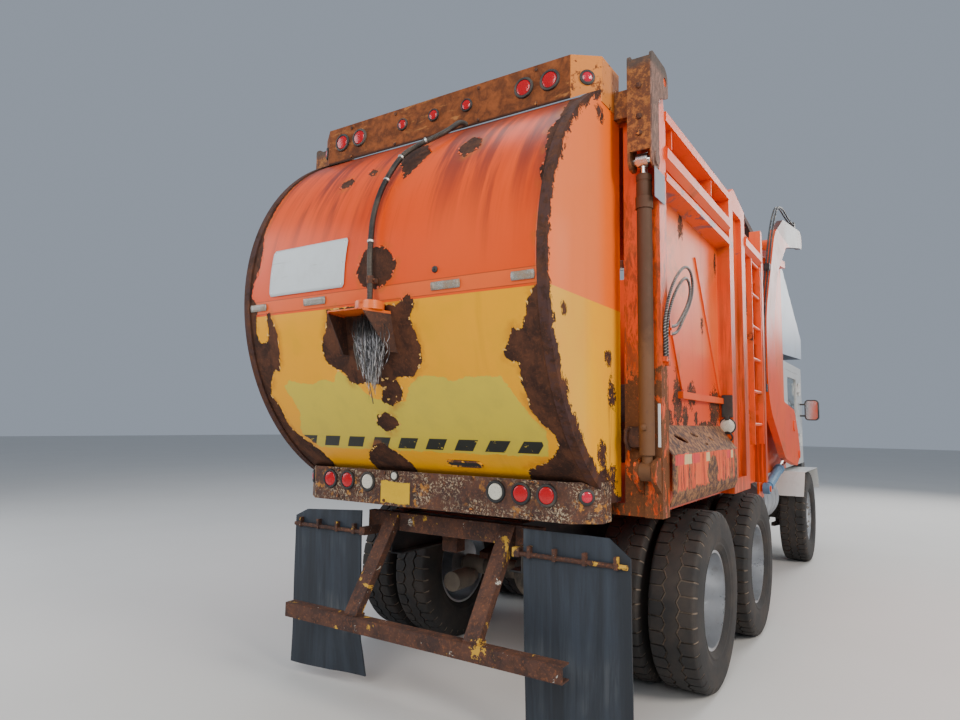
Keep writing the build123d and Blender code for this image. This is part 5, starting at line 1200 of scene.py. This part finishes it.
for area in RUST_AREAS:
    for (y1, z1), (y2, z2) in zip(area, area[1:] + area[:1]):
        for k in range(int(math.hypot(y2 - y1, z2 - z1) / FLAKE_GAP)):
            share = chance.random()
            y, z = y1 + (y2 - y1) * share, z1 + (z2 - z1) * share
            if abs(y) > 0.915 or not 1.32 < z < 3.12:
                continue
            inward = math.atan2(z1 - z2, y2 - y1) + math.pi / 2
            size, curl = chance.uniform(0.005, 0.013), chance.uniform(0.001, 0.005)
            flake(y, z, size, curl, inward + chance.uniform(-0.8, 0.8))
flakes.piece("paint_flakes", "tailgate", "gate_paint", flake_look(), smooth=False)

# Right and left flanks: work lights, latches, grey plates and upright reflectors
LIGHT_X, LIGHT_Y, LIGHT_Z = at(0.556), 1.160, 1.582
housings, plates, strips, glass_faces, latches, loops = (Stock() for _ in range(6))
for side, _ in SIDES:
    x, y, z = LIGHT_X, side * LIGHT_Y, LIGHT_Z
    housings.turned((x + 0.052, y, z), BACK, ((0.0, 0.026), (0.012, 0.048), (0.030, 0.056), (0.050, 0.058),
                                              (0.0525, 0.055)), 28)
    glass_faces.turned((x + 0.006, y, z), BACK, ((0.0, 0.050), (0.006, 0.050), (0.011, 0.040), (0.013, 0.020),
                                                 (0.0135, 0.001)), 28)
    housings.box((x - 0.006, y - 0.04, z + 0.058), (x + 0.004, y + 0.035, z + 0.215), 0.004)
    housings.box((x - 0.012, y - 0.014, z + 0.04), (x + 0.004, y + 0.014, z + 0.07))
    turns = [k * math.pi / 9 for k in range(18)]
    loops.swept([(x - 0.008 + 0.012 * math.sin(t * 2), y + 0.035 * math.cos(t),
                  z - 0.075 + 0.032 * math.sin(t)) for t in turns], 0.006)
    plates.box((at(-1.095), side * 1.205, 2.715), (at(-0.935), side * 1.209, 2.872), 0.0015)
    strips.box((at(-1.003), side * 1.180, 1.469), (at(-1.000), side * 1.194, 1.684), 0.0008)
    latches.box((at(-1.034), side * 1.026, 1.462), (at(-1.001), side * 1.098, 1.57), 0.006)
    latches.turned((at(-1.017), side * 1.06 - 0.048, 1.545), (0, 1, 0), peg(0.013, 0.096, 0.098, 0.009), 12)
    latches.swept([(at(x), side * y, z) for x, y, z in (
        (-1.036, 1.04, 1.56), (-1.062, 1.035, 1.545), (-1.068, 1.035, 1.50), (-1.052, 1.04, 1.465),
        (-1.034, 1.045, 1.455))], 0.009)
housings.piece("work_light_housings", "truck", "dark_plastic", BLACK_RUBBER)
glass_faces.piece("work_light_lenses", "truck", "clear_lens", CLEAR_LENS)
loops.piece("work_light_leads", "truck", "wire_rubber", BLACK_RUBBER)
plates.piece("grey_plates", "truck", "worn_steel", satin("grey_plate", (0.10, 0.13, 0.19), 0.45, 0.4, 9))
strips.piece("post_reflectors", "truck", "worn_steel", satin("strip_white", (0.70, 0.70, 0.67), 0.5, 0.2, 9))
latch_steel = plain_steel("latch_steel", 0.35, 0.3, (((0.28, 0.17, 0.07), 0.4, 20),))
latches.piece("gate_latches", "truck", "worn_steel", latch_steel)

# Box that hangs from the rear cross-member on a short chain
hung, links = Stock(), Stock()
hung.box((at(-0.955), 0.060, 0.806), (at(-0.86), 0.168, 0.905), 0.006)
hung.box((at(-0.940), 0.074, 0.905), (at(-0.875), 0.154, 0.915), 0.004)
for index, (wide, deep) in enumerate(((0.0, 0.0055), (0.0055, 0.0), (0.0, 0.0055))):
    turns = [2 * math.pi * k / 14 for k in range(15)]
    links.swept([(at(-0.907) + wide * math.cos(t), 0.114 + deep * math.cos(t),
                  0.9175 + 0.0105 * index + 0.0085 * math.sin(t)) for t in turns], 0.0018, 6)
hung.piece("hanging_box", "truck", "frame_paint", plain_steel("box_steel", 0.4, 0.2))
links.piece("box_chain", "truck", "grey_metal", CHROME)

# Bolts on the light bars and the hinge boxes
bolts = Stock()
for side, _ in SIDES:
    for y in (0.30, 0.66):
        for z, face in ((3.24, UPPER_FACE), (3.425, UPPER_FACE), (1.13, LOWER_FACE), (1.285, LOWER_FACE)):
            bolts.turned((at(face), side * y, z), BACK, peg(0.010, 0.006, 0.0075, 0.007), 6)
    for z in (3.05, 3.137, 3.30):
        bolts.turned((at(-1.1225), side * 1.14, z), BACK, peg(0.016, 0.009, 0.012, 0.009), 6)
bolt_steel = plain_steel("bolt_steel", 0.9, 0.0, (((0.6, 0.2, 0.03), 0.5, 30),))
bolts.piece("gate_bolts", "tailgate", "bar_paint", bolt_steel)

# Wheel nuts on the outer discs
NUTS, NUT_CIRCLE_R = 10, 0.140
nut_metal = metal("nut_metal", (0.30, 0.27, 0.24), 0.45, 0.8, 0.5, 30)
for _, _, body, x, _, face in WHEELS:
    nuts = Stock()
    centre, out = Vector((at(x), face, AXLE_Z)), Vector((0, math.copysign(1, face), 0))
    for spot in ring_of(centre, Vector((1, 0, 0)), Vector((0, 0, 1)), NUT_CIRCLE_R, NUTS):
        nuts.turned(spot, out, peg(0.022, 0.003, 0.004, 0.017), 16)
        nuts.turned(spot, out, peg(0.0175, 0.020, 0.024, 0.013, 0.003), 6)
        nuts.turned(spot, out, peg(0.010, 0.032, 0.034, 0.007, 0.02), 10)
    nuts.piece(body + "_nuts", body, "rim_metal", nut_metal)

# Glands that lengthen the tailgate cylinders' barrels towards their eyes
GLAND_AT, VALVE_AT = 1.372, 0.215
GLAND = ((0.0, 0.0385), (0.002, 0.0395), (0.080, 0.0395), (0.082, 0.0375), (0.092, 0.0375), (0.094, 0.0400),
         (0.122, 0.0400), (0.128, 0.0350), (0.129, 0.0215))
glands = Stock()
lift = Vector((-0.010, 0, 1.575)).normalized()
for side, _ in SIDES:
    foot = Vector((at(-1.050), side * 1.14, 1.350))
    glands.turned(foot + lift * GLAND_AT, lift, GLAND, 32)
    valve = foot + lift * VALVE_AT + Vector((-0.036, 0, 0))
    glands.turned(valve, (-1, 0, 0.1), peg(0.016, 0.018, 0.020, 0.012), 6)
glands.piece("barrel_glands", "tailgate_barrels", "blue_paint", GATE_BARREL)

# Cab front, which the photo hides: grille, wipers, lamp rings, handles and mirror glass
NOSE = at(5.7405)
grille, wipers, lamp_trims, mirror_faces = (Stock() for _ in range(4))
for k in range(7):
    z = 1.215 + 0.042 * k
    grille.box((NOSE, -0.50, z), (at(5.758), 0.50, z + 0.022), 0.004)
for y in (-0.515, 0.500):
    grille.box((NOSE, y, 1.20), (at(5.762), y + 0.015, 1.505), 0.004)
for z in (1.188, 1.497):
    grille.box((NOSE, -0.515, z), (at(5.762), 0.515, z + 0.014), 0.004)
for y in (0.52, -0.12):
    wipers.turned((at(5.741), y, 1.535), (1, 0, 0), peg(0.022, 0.020, 0.026, 0.014), 14)
    wipers.swept([(at(5.760), y, 1.535), (at(5.764), y - 0.147, 1.60), (at(5.758), y - 0.294, 1.74),
                  (at(5.745), y - 0.336, 1.80)], 0.007)
    wipers.swept([(at(5.7475 - 0.1935 * (z - 1.75)), y - 0.336 + aside, z)
                  for aside, z in ((-0.16, 1.775), (0.0, 1.80), (0.16, 1.82))], 0.006, 6)
for side, tag in SIDES:
    lamp_trims.turned((at(5.8005), side * 0.78, 0.675), (1, 0, 0), (
        (0.0, 0.081), (0.0, 0.096), (0.012, 0.094), (0.016, 0.088), (0.0125, 0.0815)), 36)
    face = [(side * 1.135 + a, 1.815 + b) for a, b in rounded_ring(0.070, 0.120, 0.035)]
    mirror_faces.grid([[(at(5.4195 - lift), a, b) for a, b in face] for lift in (0.0, 0.003)])
    handle, y = Stock(), side * 0.991
    handle.swept([(at(x), y + side * aside, z) for x, aside, z in (
        (4.40, 0.0, 1.50), (4.40, 0.022, 1.503), (4.415, 0.030, 1.505), (4.50, 0.030, 1.507),
        (4.515, 0.022, 1.508), (4.515, 0.0, 1.51))], 0.009, 10)
    for x, z in ((4.40, 1.50), (4.515, 1.51)):
        handle.turned((at(x), y - side * 0.0005, z), (0, side, 0), peg(0.018, 0.004, 0.006, 0.014), 16)
    handle.piece("door_handle_" + tag, "door_" + tag, "dark_plastic", BLACK_RUBBER)
grille.piece("grille", "truck", "dark_plastic", BLACK_RUBBER)
wipers.piece("wipers", "truck", "dark_plastic", BLACK_RUBBER)
lamp_trims.piece("headlight_rings", "truck", "chrome", CHROME)
mirror_glass = metal("mirror_glass", (0.80, 0.82, 0.84), 0.04, 1.0, 0.15)
mirror_faces.piece("mirror_faces", "truck", "chrome", mirror_glass)

# Seats: foam pads blown up from slightly smaller blocks, then sewn
PAD_INSET, PAD_VOXEL, PAD_SWELL, BLOW_FRAMES = 0.012, 0.013, 0.014, 20
SEAM_HALF, SEAM_DEPTH = 0.009, 0.007
seat_cloth = cloth_look()


def settle(piece):
    """Gives a piece the mesh that its modifiers make, and clears them."""
    bpy.context.view_layer.update()
    shaped = bpy.data.meshes.new_from_object(piece.evaluated_get(bpy.context.evaluated_depsgraph_get()))
    piece.modifiers.clear()
    return shaped


def cushion(name, outline, y_span, flat, seams):
    """Pad inside an outline of four (x, z) between two offsets, never below flat; seams are (axis, place)."""
    middle_x, middle_z = (sum(values) / 4 for values in zip(*outline))
    block = Stock()
    block.grid([[(x + math.copysign(PAD_INSET, middle_x - x), y, z + math.copysign(PAD_INSET, middle_z - z))
                 for x, z in outline] for y in (y_span[0] + PAD_INSET, y_span[1] - PAD_INSET)])
    piece = place_in_scene(name, new_mesh(name, block.points, block.faces, False))
    remesh = piece.modifiers.new("remesh", "REMESH")
    remesh.mode = "VOXEL"
    remesh.voxel_size = PAD_VOXEL
    remesh.use_smooth_shade = True
    piece.data = settle(piece)
    cloth = piece.modifiers.new("cloth", "CLOTH")
    cloth.settings.use_pressure = True
    cloth.settings.uniform_pressure_force = 4
    cloth.settings.effector_weights.gravity = 0
    cloth.point_cache.frame_start = 1
    cloth.point_cache.frame_end = BLOW_FRAMES
    for number in range(1, BLOW_FRAMES + 1):
        scene.frame_set(number)
    blown = settle(piece)
    scene.frame_set(1)
    for vertex, swollen in zip(piece.data.vertices, blown.vertices):
        move = swollen.co - vertex.co
        vertex.co += move * min(1.0, PAD_SWELL / max(move.length, 1e-6))
    divide = piece.modifiers.new("divide", "SUBSURF")
    divide.levels = divide.render_levels = 1
    piece.data = settle(piece)
    for vertex in piece.data.vertices:
        spot = vertex.co
        for axis, place in seams:
            near_seam = math.exp(-((spot[axis] - place) / SEAM_HALF) ** 2)
            inwards = (Vector((middle_x, spot.y, middle_z)) - spot).normalized()
            spot += inwards * SEAM_DEPTH * near_seam
        spot.z = max(spot.z, flat)
        spot.y = max(y_span[0] + 0.001, min(y_span[1] - 0.001, spot.y))
    piece.data.polygons.foreach_set("use_smooth", [True] * len(piece.data.polygons))
    piece.data.materials.clear()
    seat_on(piece, "truck", seat_cloth, ("seats",))


pedestals = Stock()
for side, tag in SIDES:
    y = side * 0.56
    base_line = [(at(4.425), 1.392), (at(4.895), 1.392), (at(4.895), 1.506), (at(4.425), 1.506)]
    cushion("seat_base_" + tag, base_line, (y - 0.235, y + 0.235), 1.391,
            ((0, at(4.60)), (0, at(4.74)), (1, y - 0.15), (1, y + 0.15)))
    back_line = [(at(4.404), 1.513), (at(4.536), 1.513), (at(4.497), 2.112), (at(4.384), 2.112)]
    cushion("seat_back_" + tag, back_line, (y - 0.215, y + 0.215), 0.0,
            ((2, 1.70), (2, 1.88), (1, y - 0.14), (1, y + 0.14)))
    pedestals.box((at(4.505), y - 0.155, 1.1605), (at(4.815), y + 0.155, 1.185), 0.004)
    for k in range(5):
        z = 1.188 + 0.038 * k
        pedestals.grid([[(at(4.66) + a * grow, y + b * grow, z + dz)
                         for a, b in rounded_ring(0.13, 0.13, 0.03)]
                        for dz, grow in ((0.0, 0.90), (0.010, 1.0), (0.026, 1.0), (0.036, 0.90))])
    pedestals.box((at(4.50), y - 0.16, 1.372), (at(4.82), y + 0.16, 1.389), 0.004)
pedestals.piece("seat_pedestals", "truck", "dark_plastic", BLACK_RUBBER, ("seats",))

# Mud flaps: heavy rubber sheets that hang from their bars, a little bowed, the outer top corner cut off
FLAP_X, FLAP_HALF, FLAP_INNER, FLAP_OUTER = -1.240, 0.0048, 0.557, 1.124
FLAP_LOW, FLAP_HUNG, FLAP_TOP = 0.062, 0.86, 1.044
FLAP_COLUMNS, FLAP_ROWS = 22, 40
# Of each flap: depth of the cut corner, droop of the top, phase of the bow, curl of the inner foot
FLAP_FORMS = {"left": (0.040, 0.035, 0.4, 0.045), "right": (0.085, 0.0, 2.0, 0.0)}
flap_rubber = flap_look()


def flap_ring(side, row, form):
    """Points round a flap at one row: there along its rear face, back along its front."""
    cut, droop, phase, curl = form
    rear, front = [], []
    for column in range(FLAP_COLUMNS + 1):
        across = column / FLAP_COLUMNS
        top = FLAP_TOP - cut * max(0.0, across - 0.82) / 0.18 - droop * across
        z = FLAP_LOW + (top - FLAP_LOW) * row / FLAP_ROWS
        free = max(0.0, FLAP_HUNG - z) / (FLAP_HUNG - FLAP_LOW)
        bow = 0.016 * free * (1 + math.sin(across * 4.2 + phase))
        curled = curl * max(0.0, free - 0.72) / 0.28 * max(0.0, 0.45 - across) / 0.45
        x = at(FLAP_X) + bow + curled + 0.004 * free * (1 + math.sin(z * 9 + across * 5))
        y = side * (FLAP_INNER + (FLAP_OUTER - FLAP_INNER) * across)
        rear.append((x - FLAP_HALF, y, z))
        front.append((x + FLAP_HALF, y, z))
    return rear + front[::-1]


for side, tag in SIDES:
    flap = Stock()
    flap.grid([flap_ring(side, row, FLAP_FORMS[tag]) for row in range(FLAP_ROWS + 1)])
    flap.piece("mud_flap_" + tag, "truck", "flap_rubber", flap_rubber, ("mud_flaps",))

# Studio floor
FLOOR_HALF = 60
floor_look = Look("floor")
cloud = floor_look.noise(0.6, 3)
corners = [(x * FLOOR_HALF, y * FLOOR_HALF, 0) for x, y in ((-1, -1), (1, -1), (1, 1), (-1, 1))]
floor = place_in_scene("floor", new_mesh("floor", corners, [(0, 1, 2, 3)], False))
shade = floor_look.mix(cloud, (0.60, 0.59, 0.57), (0.66, 0.65, 0.63))
floor.data.materials.append(floor_look.finish(shade, 0.8))
